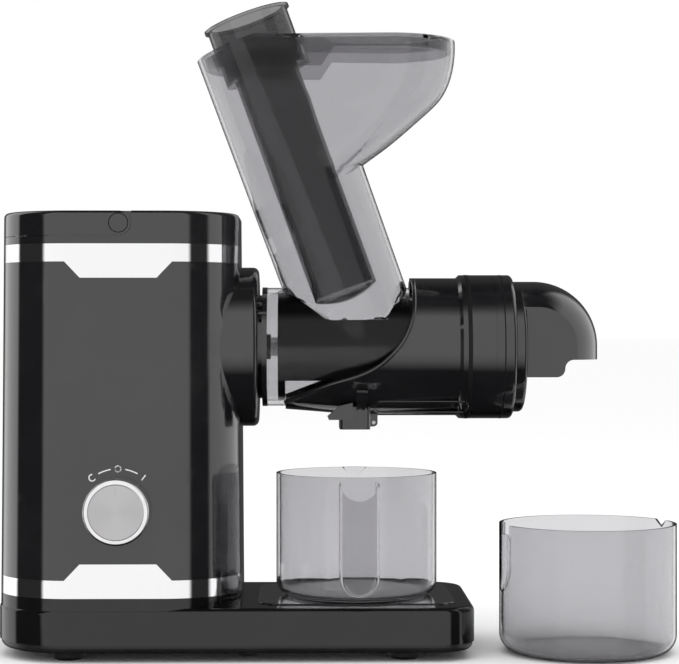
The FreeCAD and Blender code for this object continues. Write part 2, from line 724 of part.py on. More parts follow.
def knob_skirt():
    back = knob_front_y() - GAP
    tip = back - KNOB_LENGTH
    under = tip + KNOB_FRONT_THICK
    skirt = rod_y(KNOB_RADIUS, tip, back, PANEL_X, KNOB_Z)
    front = edges_at(skirt, lambda b: b.YMax < tip + TOUCH)
    skirt = skirt.makeFillet(KNOB_ROUND, front)
    seat = rod_y(KNOB_FACE_RADIUS, tip - SMALL, tip + FACE_SINK, PANEL_X, KNOB_Z)
    hollow = rod_y(KNOB_RADIUS - WALL, under, back + SMALL, PANEL_X, KNOB_Z)
    hub = rod_y(KNOB_SHAFT_RADIUS + WALL, under - SMALL, back - SMALL, PANEL_X, KNOB_Z)
    bore = rod_y(KNOB_SHAFT_RADIUS, under, back + SMALL, PANEL_X, KNOB_Z)
    return skirt.cut(seat).cut(hollow).fuse(hub).cut(bore)


def knob_face():
    front = knob_front_y() - GAP - KNOB_LENGTH
    disc = rod_y(KNOB_FACE_RADIUS - FIT_GAP, front - FACE_PROUD, front + FACE_SINK, PANEL_X, KNOB_Z)
    rim = edges_at(disc, lambda b: b.YMax < front - FACE_PROUD + TOUCH)
    disc = disc.makeChamfer(FACE_BEVEL, rim)
    line = box(PANEL_X - INDEX_WIDTH / 2, PANEL_X + INDEX_WIDTH / 2, front - SMALL,
               front - FACE_PROUD + INDEX_DEPTH, KNOB_Z + KNOB_FACE_RADIUS * INDEX_FROM,
               KNOB_Z + KNOB_FACE_RADIUS * INDEX_TO)
    return disc.cut(line)


def knob_shaft():
    back = knob_front_y() - GAP
    start = back - KNOB_LENGTH + KNOB_FRONT_THICK
    return rod_y(KNOB_SHAFT_RADIUS, start, back + KNOB_SHAFT_REACH, PANEL_X, KNOB_Z)


def rotary_switch():
    inside = knob_front_y() + TOWER_WALL + 2 * SEAT_GAP
    half = SWITCH_SIZE / 2
    back = inside + SWITCH_DEPTH
    switch = box(PANEL_X - half, PANEL_X + half, inside, back, KNOB_Z - half, KNOB_Z + half)
    switch = switch.cut(rod_y(KNOB_SHAFT_RADIUS + FIT_GAP, inside - SMALL,
                              inside + KNOB_SHAFT_REACH, PANEL_X, KNOB_Z))
    thick, length, tall = SWITCH_TAB
    for index in range(SWITCH_TABS):
        x = PANEL_X + SWITCH_TAB_START + SWITCH_TAB_PITCH * index
        switch = switch.fuse(box(x, x + thick, back, back + length, KNOB_Z - tall / 2, KNOB_Z + tall / 2))
    return switch


# ---- Gears, shafts and motor

def involute(angle):
    return math.tan(angle) - angle


def gear_blank(teeth, x0, width, y, z, phase):
    """An involute spur gear about an axis along X; phase is the angle of one tooth's middle."""
    pitch_radius = MODULE * teeth / 2
    base_radius = pitch_radius * math.cos(math.radians(PRESSURE_ANGLE))
    tip_radius = pitch_radius + MODULE
    root_radius = pitch_radius - DEDENDUM * MODULE
    half_pitch = math.pi / (2 * teeth) - BACKLASH / (4 * pitch_radius)
    start_radius = max(base_radius, root_radius)

    def point(radius, angle):
        return FreeCAD.Vector(x0, y + radius * math.cos(angle), z + radius * math.sin(angle))

    def half_angle(radius):
        pressure = math.acos(min(1.0, base_radius / radius))
        return half_pitch + involute(math.radians(PRESSURE_ANGLE)) - involute(pressure)

    middle_radius = (start_radius + tip_radius) / 2
    edges = []
    step = 2 * math.pi / teeth
    for index in range(teeth):
        centre = phase + index * step
        low = half_angle(start_radius)
        mid = half_angle(middle_radius)
        high = half_angle(tip_radius)
        rise = [point(root_radius, centre - low), point(start_radius, centre - low),
                point(middle_radius, centre - mid), point(tip_radius, centre - high)]
        fall = [point(tip_radius, centre + high), point(middle_radius, centre + mid),
                point(start_radius, centre + low), point(root_radius, centre + low)]
        if base_radius > root_radius:
            edges.append(Part.LineSegment(rise[0], rise[1]).toShape())
        edges.append(Part.Arc(rise[1], rise[2], rise[3]).toShape())
        edges.append(Part.Arc(rise[3], point(tip_radius, centre), fall[0]).toShape())
        edges.append(Part.Arc(fall[0], fall[1], fall[2]).toShape())
        if base_radius > root_radius:
            edges.append(Part.LineSegment(fall[2], fall[3]).toShape())
        next_root = point(root_radius, centre + step - low)
        between = point(root_radius, centre + step / 2)
        edges.append(Part.Arc(fall[3], between, next_root).toShape())
    face = Part.Face(Part.Wire(edges))
    return face.extrude(FreeCAD.Vector(width, 0, 0))


def wheel_x():
    return OUTPUT_GEAR_X - GEAR_STEP


def output_gear():
    phase = -math.pi / 2 + math.pi / OUTPUT_TEETH
    gear = gear_blank(OUTPUT_TEETH, OUTPUT_GEAR_X, GEAR_WIDTH, 0.0, AXIS_Z, phase)
    reach = MODULE * OUTPUT_TEETH / 2 * WEB_HOLE_PLACE
    start = OUTPUT_GEAR_X - SMALL
    end = OUTPUT_GEAR_X + GEAR_WIDTH + SMALL
    for index in range(WEB_HOLES):
        angle = 2 * math.pi * index / WEB_HOLES
        y = reach * math.cos(angle)
        z = AXIS_Z + reach * math.sin(angle)
        gear = gear.cut(rod_x(WEB_HOLE_RADIUS, start, end, y, z))
    return gear.cut(rod_x(OUTPUT_SHAFT_RADIUS, start, end))


def idler_gear():
    phase = -math.pi / 2 + math.pi / WHEEL_TEETH
    start = wheel_x()
    end = OUTPUT_GEAR_X + GEAR_WIDTH + SMALL
    wheel = gear_blank(WHEEL_TEETH, start, GEAR_WIDTH, 0.0, IDLER_Z, phase)
    pinion = gear_blank(PINION_TEETH, OUTPUT_GEAR_X - SMALL, GEAR_WIDTH + 2 * SMALL, 0.0, IDLER_Z,
                        math.pi / 2)
    core = rod_x(IDLER_CORE_RADIUS, start + SMALL, OUTPUT_GEAR_X + SMALL, 0.0, IDLER_Z)
    bore = rod_x(IDLER_AXLE_RADIUS + FIT_GAP, start - SMALL, end + SMALL, 0.0, IDLER_Z)
    return wheel.fuse(core).fuse(pinion).cut(bore)


def pinion_gear():
    start = wheel_x()
    gear = gear_blank(PINION_TEETH, start, GEAR_WIDTH, 0.0, MOTOR_Z, math.pi / 2)
    bore = rod_x(MOTOR_SHAFT_RADIUS, start - SMALL, start + GEAR_WIDTH + SMALL, 0.0, MOTOR_Z)
    return gear.cut(bore)


def box_back_x():
    return wheel_x() - BOX_END_GAP - BOX_WALL


def box_front_x():
    return OUTPUT_GEAR_X + GEAR_WIDTH + BOX_END_GAP


def gearbox_outline(x0, x1, shrink):
    """Two round ends, round the output gear and the pinion, joined by tangent sides."""
    top = MODULE * (OUTPUT_TEETH + 2) / 2 + BOX_ROOM - shrink
    low = MODULE * (WHEEL_TEETH + 2) / 2 - shrink
    lean = math.asin((top - low) / (AXIS_Z - MOTOR_Z))
    low_y = low * math.cos(lean)
    low_z = MOTOR_Z - low * math.sin(lean)
    top_y = top * math.cos(lean)
    top_z = AXIS_Z - top * math.sin(lean)
    corners = [FreeCAD.Vector(x0, low_y, low_z), FreeCAD.Vector(x0, top_y, top_z),
               FreeCAD.Vector(x0, -top_y, top_z), FreeCAD.Vector(x0, -low_y, low_z)]
    edges = [Part.LineSegment(corners[0], corners[1]).toShape(),
             Part.Arc(corners[1], FreeCAD.Vector(x0, 0, AXIS_Z + top), corners[2]).toShape(),
             Part.LineSegment(corners[2], corners[3]).toShape(),
             Part.Arc(corners[3], FreeCAD.Vector(x0, 0, MOTOR_Z - low), corners[0]).toShape()]
    face = Part.Face(Part.Wire(edges))
    return face.extrude(FreeCAD.Vector(x1 - x0, 0, 0))


def gearbox_housing():
    back = box_back_x()
    through = back + BOX_WALL + SMALL
    shell = gearbox_outline(back, box_front_x(), 0.0)
    shell = shell.cut(gearbox_outline(back + BOX_WALL, box_front_x() + SMALL, BOX_WALL))
    shell = shell.fuse(rod_x(BEARING_RADIUS + WALL, back - BEARING_WIDTH, back + SMALL))
    shell = shell.cut(rod_x(BEARING_RADIUS, back - BEARING_WIDTH, through))
    shell = shell.cut(rod_x(MOTOR_SHAFT_RADIUS + SMALL, back - SMALL, through, 0.0, MOTOR_Z))
    return shell.cut(rod_x(IDLER_AXLE_RADIUS, back - SMALL, through, 0.0, IDLER_Z))


def gearbox_cover():
    start = box_front_x()
    plate = gearbox_outline(start, HUB_BACK_X, 0.0)
    plate = plate.cut(rod_x(BEARING_RADIUS, start - SMALL, HUB_BACK_X + SMALL))
    return plate.cut(rod_x(IDLER_AXLE_RADIUS, start - SMALL, HUB_BACK_X + SMALL, 0.0, IDLER_Z))


def bearing(x0, x1):
    """A ball bearing: two races with a ring of balls between them, one solid group."""
    step = (BEARING_RADIUS - OUTPUT_SHAFT_RADIUS) / 3
    inner = ring_x(OUTPUT_SHAFT_RADIUS + step, OUTPUT_SHAFT_RADIUS + FIT_GAP, x0, x1)
    outer = ring_x(BEARING_RADIUS, BEARING_RADIUS - step, x0, x1)
    balls = []
    track = (BEARING_RADIUS + OUTPUT_SHAFT_RADIUS) / 2
    for index in range(BEARING_BALLS):
        angle = 2 * math.pi * index / BEARING_BALLS
        y = track * math.cos(angle)
        z = AXIS_Z + track * math.sin(angle)
        balls.append(Part.makeSphere(step / 2 - FIT_GAP, FreeCAD.Vector((x0 + x1) / 2, y, z)))
    return Part.makeCompound([inner, outer] + balls)


def output_shaft():
    start = box_back_x() - BEARING_WIDTH
    end = HUB_FACE_X - DRIVE_RECESS
    shaft = rod_x(OUTPUT_SHAFT_RADIUS, start, end)
    return shaft.cut(hex_rod(HEX_FLATS + 2 * HEX_GAP, end - SOCKET_DEPTH, end + SMALL))


def hex_rod(flats, x0, x1):
    radius = flats / math.sqrt(3)
    corners = []
    for index in range(6):
        angle = math.pi / 6 + index * math.pi / 3
        y = radius * math.cos(angle)
        z = AXIS_Z + radius * math.sin(angle)
        corners.append(FreeCAD.Vector(x0, y, z))
    face = Part.Face(Part.makePolygon(corners + corners[:1]))
    return face.extrude(FreeCAD.Vector(x1 - x0, 0, 0))


def idler_axle():
    return rod_x(IDLER_AXLE_RADIUS, box_back_x(), HUB_BACK_X, 0.0, IDLER_Z)


def motor_back_x():
    return box_back_x() - MOTOR_LENGTH


def motor_frame():
    back = motor_back_x()
    front = box_back_x()
    outer = rod_x(MOTOR_RADIUS, back, front, 0.0, MOTOR_Z)
    frame = outer.cut(rod_x(MOTOR_RADIUS - WALL, back + WALL, front - WALL, 0.0, MOTOR_Z))
    reach = MOTOR_RADIUS - MOTOR_VENT_INSET
    for index in range(MOTOR_VENTS):
        angle = 2 * math.pi * index / MOTOR_VENTS
        y = reach * math.cos(angle)
        z = MOTOR_Z + reach * math.sin(angle)
        frame = frame.cut(rod_x(MOTOR_VENT_RADIUS, back - SMALL, back + WALL + SMALL, y, z))
    return frame.cut(rod_x(MOTOR_SHAFT_RADIUS + FIT_GAP, back - SMALL, front + SMALL, 0.0, MOTOR_Z))


def stator():
    start = motor_back_x() + STATOR_INSET
    end = box_back_x()
    core = rod_x(MOTOR_RADIUS - WALL, start, end - STATOR_INSET, 0.0, MOTOR_Z)
    core = core.cut(rod_x(STATOR_BORE, start - SMALL, end, 0.0, MOTOR_Z))
    reach = STATOR_BORE + BRUSH_DEPTH
    half = BRUSH_HEIGHT / 2
    return core.cut(box(start - SMALL, end, -reach, reach, MOTOR_Z - half, MOTOR_Z + half))


def rotor():
    start = motor_back_x() + ROTOR_INSET
    end = box_back_x()
    core = rod_x(ROTOR_RADIUS, start, end - ROTOR_INSET, 0.0, MOTOR_Z)
    for index in range(ROTOR_SLOTS):
        angle = 2 * math.pi * index / ROTOR_SLOTS
        y = ROTOR_RADIUS * math.cos(angle)
        z = MOTOR_Z + ROTOR_RADIUS * math.sin(angle)
        core = core.cut(rod_x(ROTOR_SLOT_RADIUS, start - SMALL, end, y, z))
    first = start - COMMUTATOR_LENGTH
    core = core.fuse(rod_x(COMMUTATOR_RADIUS, first, start, 0.0, MOTOR_Z))
    return core.cut(rod_x(MOTOR_SHAFT_RADIUS, first - SMALL, end, 0.0, MOTOR_Z))


def motor_shaft():
    start = motor_back_x() - MOTOR_TAIL
    return rod_x(MOTOR_SHAFT_RADIUS, start, wheel_x() + GEAR_WIDTH, 0.0, MOTOR_Z)


def cooling_fan():
    end = motor_back_x() - FAN_GAP
    start = end - FAN_WIDTH
    fan = rod_x(FAN_HUB_RADIUS, start, end, 0.0, MOTOR_Z)
    fan = fan.fuse(rod_x(FAN_RADIUS, start, start + FAN_DISC_THICK, 0.0, MOTOR_Z))
    half = FAN_BLADE_THICK / 2
    centre = FreeCAD.Vector(0, 0, MOTOR_Z)
    for index in range(FAN_BLADES):
        blade = box(start + SMALL, end, FAN_HUB_RADIUS - SMALL, FAN_RADIUS - SMALL,
                    MOTOR_Z - half, MOTOR_Z + half)
        blade.rotate(centre, FreeCAD.Vector(1, 0, 0), 360.0 * index / FAN_BLADES)
        fan = fan.fuse(blade)
    return fan.cut(rod_x(MOTOR_SHAFT_RADIUS, start - SMALL, end + SMALL, 0.0, MOTOR_Z))


def circuit_board():
    board = None
    for x0, x1, y0, y1, z0, z1 in [BOARD_PLACE] + BOARD_PARTS:
        part = box(TOWER_MIDDLE + x0, TOWER_MIDDLE + x1, REAR_SPLIT_Y + y0, REAR_SPLIT_Y + y1,
                   AXIS_Z + z0, AXIS_Z + z1)
        board = part if board is None else board.fuse(part)
    radius, start, end, x, z = CAPACITOR
    can = rod_y(radius, REAR_SPLIT_Y + start, REAR_SPLIT_Y + end, TOWER_MIDDLE + x, AXIS_Z + z)
    return board.fuse(can)


# ---- Hub

def lug_ring(radius, x0, x1, spread, turn):
    """Sectors of a disc, evenly spaced, for the bayonet's lugs and their entry slots."""
    centre = FreeCAD.Vector(0, 0, 0)
    up = FreeCAD.Vector(0, 0, 1)
    sectors = []
    for index in range(LUG_COUNT):
        start = 90 - spread / 2 + turn + index * 360.0 / LUG_COUNT
        sector = Part.makeCylinder(radius, x1 - x0, centre, up, spread)
        sector.rotate(centre, up, start)
        sector.rotate(centre, FreeCAD.Vector(1, 1, 1), 120)
        sector.translate(FreeCAD.Vector(x0, 0, AXIS_Z))
        sectors.append(sector)
    return sectors[0].multiFuse(sectors[1:])


def hub_collar():
    collar = rod_x(HUB_RADIUS, HUB_BACK_X, HUB_FACE_X)
    face = edges_at(collar, lambda b: b.XMin > HUB_FACE_X - TOUCH)
    collar = collar.makeFillet(HUB_EDGE, face)
    floor = HUB_FACE_X - NECK_DEPTH - GAP
    bore = NECK_RADIUS + GAP
    collar = collar.cut(rod_x(bore, floor, HUB_FACE_X + SMALL))
    collar = collar.cut(rod_x(bore + LUG_REACH, floor, floor + LUG_LENGTH + 2 * GAP))
    entry = lug_ring(bore + LUG_REACH, floor + GAP, HUB_FACE_X + SMALL, LUG_ANGLE + LUG_SIDE_ROOM,
                     UNLOCK_ANGLE)
    collar = collar.cut(entry)
    hollow = ring_x(HUB_RADIUS - HUB_EDGE, BEARING_RADIUS + WALL, HUB_BACK_X - SMALL, floor - WALL)
    return collar.cut(hollow).cut(rod_x(OUTPUT_SHAFT_RADIUS + FIT_GAP, HUB_BACK_X - SMALL, HUB_FACE_X))


# ---- Drum

def drum_flange():
    end = FLANGE_X + FLANGE_THICK
    start = HUB_FACE_X - NECK_DEPTH
    neck = rod_x(NECK_RADIUS, start, FLANGE_X + SMALL)
    flange = rod_x(FLANGE_RADIUS, FLANGE_X, end)
    lugs = lug_ring(NECK_RADIUS + LUG_REACH, start, start + LUG_LENGTH, LUG_ANGLE, 0.0)
    body = neck.fuse(flange).fuse(lugs)
    pocket = rod_x(NECK_RADIUS - WALL, start - SMALL, FLANGE_X)
    body = body.cut(pocket)
    peg_angle = math.radians(PEG_ANGLE)
    peg_y = PEG_REACH * math.cos(peg_angle)
    peg_z = AXIS_Z + PEG_REACH * math.sin(peg_angle)
    peg = rod_x(PEG_RADIUS, HUB_FACE_X + GAP, end, peg_y, peg_z)
    body = body.fuse(peg)
    return body.cut(rod_x(SEAL_RADIUS, FLANGE_X - SMALL, end + SMALL)).removeSplitter()


def shaft_seal():
    end = FLANGE_X + FLANGE_THICK
    seal = ring_x(SEAL_RADIUS, SEAL_BORE, FLANGE_X, end)
    lip = ring_x(SEAL_BORE + SEAL_LIP, SEAL_BORE, end, end + SEAL_LIP_LENGTH)
    return seal.fuse(lip)


def right_of_seam(margin):
    """Everything right of and below the swept seam, as seen from the front."""
    points = [FreeCAD.Vector(x, -margin, z) for x, z in SEAM]
    curve = Part.BSplineCurve()
    curve.interpolate(points)
    corners = [points[-1], FreeCAD.Vector(CAP_RIM_END_X, -margin, points[-1].z),
               FreeCAD.Vector(CAP_RIM_END_X, -margin, AXIS_Z - margin),
               FreeCAD.Vector(points[0].x, -margin, AXIS_Z - margin), points[0]]
    edges = [curve.toShape()]
    for here, following in zip(corners, corners[1:]):
        edges.append(Part.LineSegment(here, following).toShape())
    face = Part.Face(Part.Wire(edges))
    return face.extrude(FreeCAD.Vector(0, 2 * margin, 0))


def turned(profile):
    """A polygon of (x, radius) points turned about the drum's axis."""
    corners = [FreeCAD.Vector(x, 0, AXIS_Z + r) for x, r in profile]
    face = Part.Face(Part.makePolygon(corners + corners[:1]))
    return face.revolve(FreeCAD.Vector(0, 0, AXIS_Z), FreeCAD.Vector(1, 0, 0), 360)


def nut_thread_x():
    return NUT_END_X - NUT_LIP - CAP_FLANGE_THICK


def drum_body():
    chamfer = COLLAR_RADIUS - BODY_RADIUS
    spigot_end = nut_thread_x() - GAP
    slope = BODY_END_X - COLLAR_RUN
    outer = turned([(BODY_START_X, 0), (BODY_START_X, BODY_START_RADIUS), (BODY_SWELL_X, BODY_RADIUS),
                    (slope, BODY_RADIUS), (slope + chamfer, COLLAR_RADIUS),
                    (COLLAR_END_X, COLLAR_RADIUS), (COLLAR_END_X, CAP_FLANGE_RADIUS),
                    (spigot_end, CAP_FLANGE_RADIUS), (spigot_end, 0)])
    body = outer.common(right_of_seam(COLLAR_RADIUS + SEAM_MARGIN))
    body = body.fuse(rod_z(OUTLET_RADIUS, BODY_LOW_Z - OUTLET_DROP, BODY_LOW_Z + WALL, OUTLET_X))
    body = body.cut(rod_x(BARREL_RADIUS + SEAT_GAP, BODY_START_X - SMALL, BARREL_END_X + SEAT_GAP))
    above = box(BODY_START_X, BODY_END_X, -BODY_RADIUS, BODY_RADIUS, AXIS_Z, RIM_Z)
    body = body.cut(chute_cone(SEAT_GAP, 0.0).common(above))
    body = body.cut(rod_x(BODY_RADIUS - BODY_WALL, BARREL_END_X - SMALL, NUT_END_X))
    body = body.cut(rod_z(OUTLET_BORE, CAP_BOTTOM_Z, AXIS_Z - BARREL_RADIUS + BODY_WALL, OUTLET_X))
    for side in (-1, 1):
        y = side * LUG_PLACE
        near, far = sorted((y, y + side * LUG_THICK))
        lug = box(CAP_PIN_X - KNUCKLE_RADIUS, CAP_PIN_X + KNUCKLE_RADIUS, near, far,
                  CAP_PIN_Z, BODY_LOW_Z + SMALL)
        body = body.fuse(lug).fuse(rod_y(KNUCKLE_RADIUS, near, far, CAP_PIN_X, CAP_PIN_Z))
    pin_bore = rod_y(CAP_PIN_RADIUS, -CAP_BACK_Y, CAP_BACK_Y, CAP_PIN_X, CAP_PIN_Z)
    return body.cut(pin_bore)


def drip_cap_pin():
    reach = LUG_PLACE + LUG_THICK
    return rod_y(CAP_PIN_RADIUS, -reach, reach, CAP_PIN_X, CAP_PIN_Z)


def drip_cap():
    left = OUTLET_X - CAP_WIDTH * CAP_LEFT_SHARE
    right = left + CAP_WIDTH
    clear = BODY_RADIUS + CAP_CLEARANCE
    cap = box(left, right, CAP_FRONT_Y, CAP_BACK_Y, CAP_BOTTOM_Z, CAP_TOP_Z)
    upright = edges_at(cap, lambda b: b.ZLength > CAP_TOP_Z - CAP_BOTTOM_Z - TOUCH)
    cap = cap.makeFillet(CAP_CORNER, upright)
    tip = left - WEDGE_REACH
    root = left + WEDGE_REACH
    wedge = side_prism([(tip, CAP_TOP_Z - WEDGE_DEPTH), (left, CAP_TOP_Z + SMALL),
                        (root, CAP_TOP_Z + CAP_CORNER), (root, CAP_TOP_Z - WEDGE_REACH),
                        (tip + SMALL, CAP_TOP_Z - WEDGE_REACH)],
                       CAP_FRONT_Y - WEDGE_DEPTH, CAP_FRONT_Y + SMALL)
    latch = ring_x(clear + LATCH_THICK, clear, right - LATCH_WIDTH - LATCH_INSET, right - LATCH_INSET)
    latch = latch.common(box(left, right, CAP_FRONT_Y - CAP_WIDTH, CAP_FRONT_Y + WEDGE_DEPTH,
                             CAP_BOTTOM_Z + WEDGE_DEPTH, LATCH_TOP_Z))
    cap = cap.fuse(wedge).fuse(latch)
    for index in range(GRIP_RIBS):
        x = left + GRIP_RIB_START + index * GRIP_RIB_PITCH
        cap = cap.fuse(box(x, x + GRIP_RIB_WIDTH, CAP_FRONT_Y - SMALL, CAP_FRONT_Y + SMALL,
                           CAP_BOTTOM_Z + SMALL, CAP_TOP_Z - SMALL))
    cap = cap.cut(rod_x(clear, left - CAP_WIDTH, right + CAP_WIDTH))
    room = OUTLET_RADIUS + CAP_POCKET_GAP
    floor = BODY_LOW_Z - OUTLET_DROP - CAP_CLEARANCE
    cap = cap.cut(rod_z(room, floor, LATCH_TOP_Z, OUTLET_X))
    cap = cap.cut(box(OUTLET_X, right + SMALL, -room, room, floor, LATCH_TOP_Z))
    cap = cap.cut(rod_y(KNUCKLE_RADIUS + GAP, -CAP_BACK_Y, CAP_BACK_Y, CAP_PIN_X, CAP_PIN_Z))
    half = LUG_PLACE - GAP
    knuckle = rod_y(KNUCKLE_RADIUS, -half, half, CAP_PIN_X, CAP_PIN_Z)
    arm = box(right - CAP_CORNER - SMALL, CAP_PIN_X, -half, half, CAP_BOTTOM_Z + SMALL,
              CAP_PIN_Z + SMALL)
    cap = cap.fuse(arm).fuse(knuckle)
    return cap.cut(rod_y(CAP_PIN_RADIUS + FIT_GAP, -CAP_BACK_Y, CAP_BACK_Y, CAP_PIN_X, CAP_PIN_Z))


# ---- Feed guide, strainer, auger

def chute_rod(radius, low, high):
    """A rod on the chute's axis, between distances below (-) and above (+) the rim's centre."""
    centre = FreeCAD.Vector(CHUTE_TOP_X, 0, RIM_Z)
    return Part.makeCylinder(radius, high - low, centre + CHUTE_AXIS * low, CHUTE_AXIS)


def chute_cone(grown, high):
    """The chute's tapered form, from the drum's axis up to a distance above the rim's centre."""
    length = (RIM_Z - AXIS_Z) / math.cos(TILT)
    taper = (CHUTE_RADIUS - CHUTE_FOOT_RADIUS) / length
    low = FreeCAD.Vector(CHUTE_FOOT_X, 0, AXIS_Z) - CHUTE_AXIS * CHUTE_RADIUS
    low_radius = CHUTE_FOOT_RADIUS - taper * CHUTE_RADIUS + grown
    reach = length + CHUTE_RADIUS + high
    return Part.makeCone(low_radius, low_radius + taper * reach, reach, low, CHUTE_AXIS)


def feed_guide():
    locating = BODY_RADIUS - BODY_WALL - SEAT_GAP
    bore = AUGER_RADIUS + AUGER_CLEARANCE
    end = GUIDE_END_X + SMALL
    guide = rod_x(GUIDE_RADIUS, GUIDE_START_X, GUIDE_END_X)
    guide = guide.fuse(rod_x(locating, GUIDE_END_X - RIM_THICK, GUIDE_END_X))
    guide = guide.cut(rod_x(bore, GUIDE_START_X + GUIDE_BACK, end))
    guide = guide.cut(rod_x(AUGER_CORE_START + SMALL, GUIDE_START_X - SMALL,
                            GUIDE_START_X + GUIDE_BACK + SMALL))
    above = box(GUIDE_START_X - SMALL, GUIDE_END_X - RIM_THICK, -BODY_RADIUS, BODY_RADIUS,
                GUIDE_TOP_Z, RIM_Z)
    guide = guide.cut(chute_cone(-CHUTE_WALL, 0.0).common(above))
    half = AUGER_RADIUS - SMALL
    guide = guide.cut(box(CHUTE_FOOT_X - CHUTE_FOOT_RADIUS - SMALL, GUIDE_END_X - 2 * RIM_THICK,
                          -half, half, AXIS_Z, AXIS_Z + GUIDE_RADIUS - RIM_THICK))
    window = box(WINDOW_START_X, WINDOW_END_X, -BODY_RADIUS, BODY_RADIUS, AXIS_Z - BODY_RADIUS, WINDOW_Z)
    guide = guide.cut(window)
    pocket = ring_x(GUIDE_RADIUS - WALL, bore + WALL, GUIDE_START_X + WALL, end)
    under = box(GUIDE_START_X, end, -BODY_RADIUS, BODY_RADIUS, WINDOW_Z + WALL, GUIDE_TOP_Z - WALL)
    return guide.cut(pocket.common(under))


def strainer_mesh():
    inner = AUGER_RADIUS + AUGER_CLEARANCE
    mesh = ring_x(inner + STRAINER_WALL, inner, GUIDE_END_X + 2 * SEAT_GAP, AUGER_END_X)
    centre = FreeCAD.Vector(0, 0, AXIS_Z)
    reach = inner + STRAINER_RIB
    half = STRAINER_SLOT_WIDTH / 2
    for index in range(STRAINER_SLOTS):
        slot = box(GUIDE_END_X + STRAINER_MARGIN, AUGER_END_X - STRAINER_MARGIN, -reach, reach,
                   AXIS_Z - half, AXIS_Z + half)
        slot.rotate(centre, FreeCAD.Vector(1, 0, 0), 180.0 * (index + 0.5) / STRAINER_SLOTS)
        mesh = mesh.cut(slot)
    return mesh


def strainer_frame():
    inner = AUGER_RADIUS + AUGER_CLEARANCE + STRAINER_WALL
    outer = inner + STRAINER_RIB
    start = GUIDE_END_X + 2 * SEAT_GAP
    middle = (start + AUGER_END_X) / 2
    half = STRAINER_RIB_WIDTH / 2
    frame = ring_x(outer, inner, start, start + STRAINER_RING)
    frame = frame.fuse(ring_x(outer, inner, AUGER_END_X - STRAINER_RING, AUGER_END_X))
    frame = frame.fuse(ring_x(outer, inner, middle - half, middle + half))
    centre = FreeCAD.Vector(0, 0, AXIS_Z)
    for index in range(STRAINER_RIBS):
        rib = box(start, AUGER_END_X, inner + 2 * SEAT_GAP, outer, AXIS_Z - half, AXIS_Z + half)
        rib.rotate(centre, FreeCAD.Vector(1, 0, 0), 360.0 * index / STRAINER_RIBS)
        frame = frame.fuse(rib)
    locating = BODY_RADIUS - BODY_WALL - SEAT_GAP
    low = AUGER_END_X - RIM_WIDTH
    high = AUGER_END_X + SMALL
    locator = ring_x(locating, inner, AUGER_END_X - RIM_THICK, AUGER_END_X)
    windows = ring_x(locating - RIM_WIDTH, outer + RIM_THICK, low, high)
    spokes = box(low, high, -SPOKE_WIDTH / 2, SPOKE_WIDTH / 2, AXIS_Z - BODY_RADIUS, AXIS_Z + BODY_RADIUS)
    return frame.fuse(locator.cut(windows.cut(spokes)))


def auger_start_x():
    return GUIDE_START_X + GUIDE_BACK + ROOT_GAP


def auger():
    start = auger_start_x()
    core = turned([(start, 0), (start, AUGER_CORE_START), (AUGER_END_X, AUGER_CORE_END),
                   (AUGER_END_X, BUSH_RADIUS - SMALL), (AUGER_END_X + 2 * SMALL, TIP_RADIUS),
                   (TIP_END_X, TIP_RADIUS), (TIP_END_X, 0)])
    disc = rod_x(AUGER_RADIUS, start, start + AUGER_DISC)
    root = AUGER_CORE_START - 2 * SMALL
    run = AUGER_END_X - start - FLIGHT_ROOT - 2 * SMALL
    helix = Part.makeHelix(AUGER_PITCH, run, root)
    profile = Part.makePolygon([FreeCAD.Vector(root, 0, -FLIGHT_ROOT / 2),
                                FreeCAD.Vector(AUGER_RADIUS, 0, -FLIGHT_TIP / 2),
                                FreeCAD.Vector(AUGER_RADIUS, 0, FLIGHT_TIP / 2),
                                FreeCAD.Vector(root, 0, FLIGHT_ROOT / 2),
                                FreeCAD.Vector(root, 0, -FLIGHT_ROOT / 2)])
    flight = Part.Wire(helix).makePipeShell([profile], True, True)
    flight.rotate(FreeCAD.Vector(0, 0, 0), FreeCAD.Vector(0, 1, 0), 90)
    flight.translate(FreeCAD.Vector(start + FLIGHT_ROOT, 0, AXIS_Z))
    solid = core.fuse(disc).fuse(flight)
    return solid.cut(hex_rod(HEX_FLATS, start - SMALL, start + SOCKET_REACH))


def auger_shaft():
    start = HUB_FACE_X - DRIVE_RECESS - SOCKET_DEPTH + SMALL
    return hex_rod(HEX_FLATS, start, auger_start_x() + SOCKET_REACH)


# ---- Chute, hopper, lid and pusher

def scoop_section(drop, right, centre_x, depth, inset):
    """A level section of the side trough: straight sides and a half-ellipse to the right."""
    z = RIM_Z - drop
    axis_x = CHUTE_TOP_X + drop * math.tan(TILT)
    root_depth = CHUTE_RADIUS - SCOOP_ROOT - inset
    points = []
    for index in range(SCOOP_POINTS):
        angle = math.pi * (index / (SCOOP_POINTS - 1) - 0.5)
        x = centre_x + (right - inset - centre_x) * math.cos(angle)
        points.append(FreeCAD.Vector(x, (depth - inset) * math.sin(angle), z))
    curve = Part.BSplineCurve()
    right_way = FreeCAD.Vector(1, 0, 0)
    curve.interpolate(Points=points, InitialTangent=right_way, FinalTangent=-right_way)
    root_front = FreeCAD.Vector(axis_x - SCOOP_ROOT, -root_depth, z)
    root_back = FreeCAD.Vector(axis_x - SCOOP_ROOT, root_depth, z)
    return Part.Wire([Part.LineSegment(root_front, points[0]).toShape(), curve.toShape(),
                      Part.LineSegment(points[-1], root_back).toShape(),
                      Part.LineSegment(root_back, root_front).toShape()])


def scoop(inset):
    """The side trough of the hopper, which runs out to the right of the chute."""
    wires = [scoop_section(*level, inset) for level in SCOOP_LEVELS]
    return Part.makeLoft(wires, True, False)


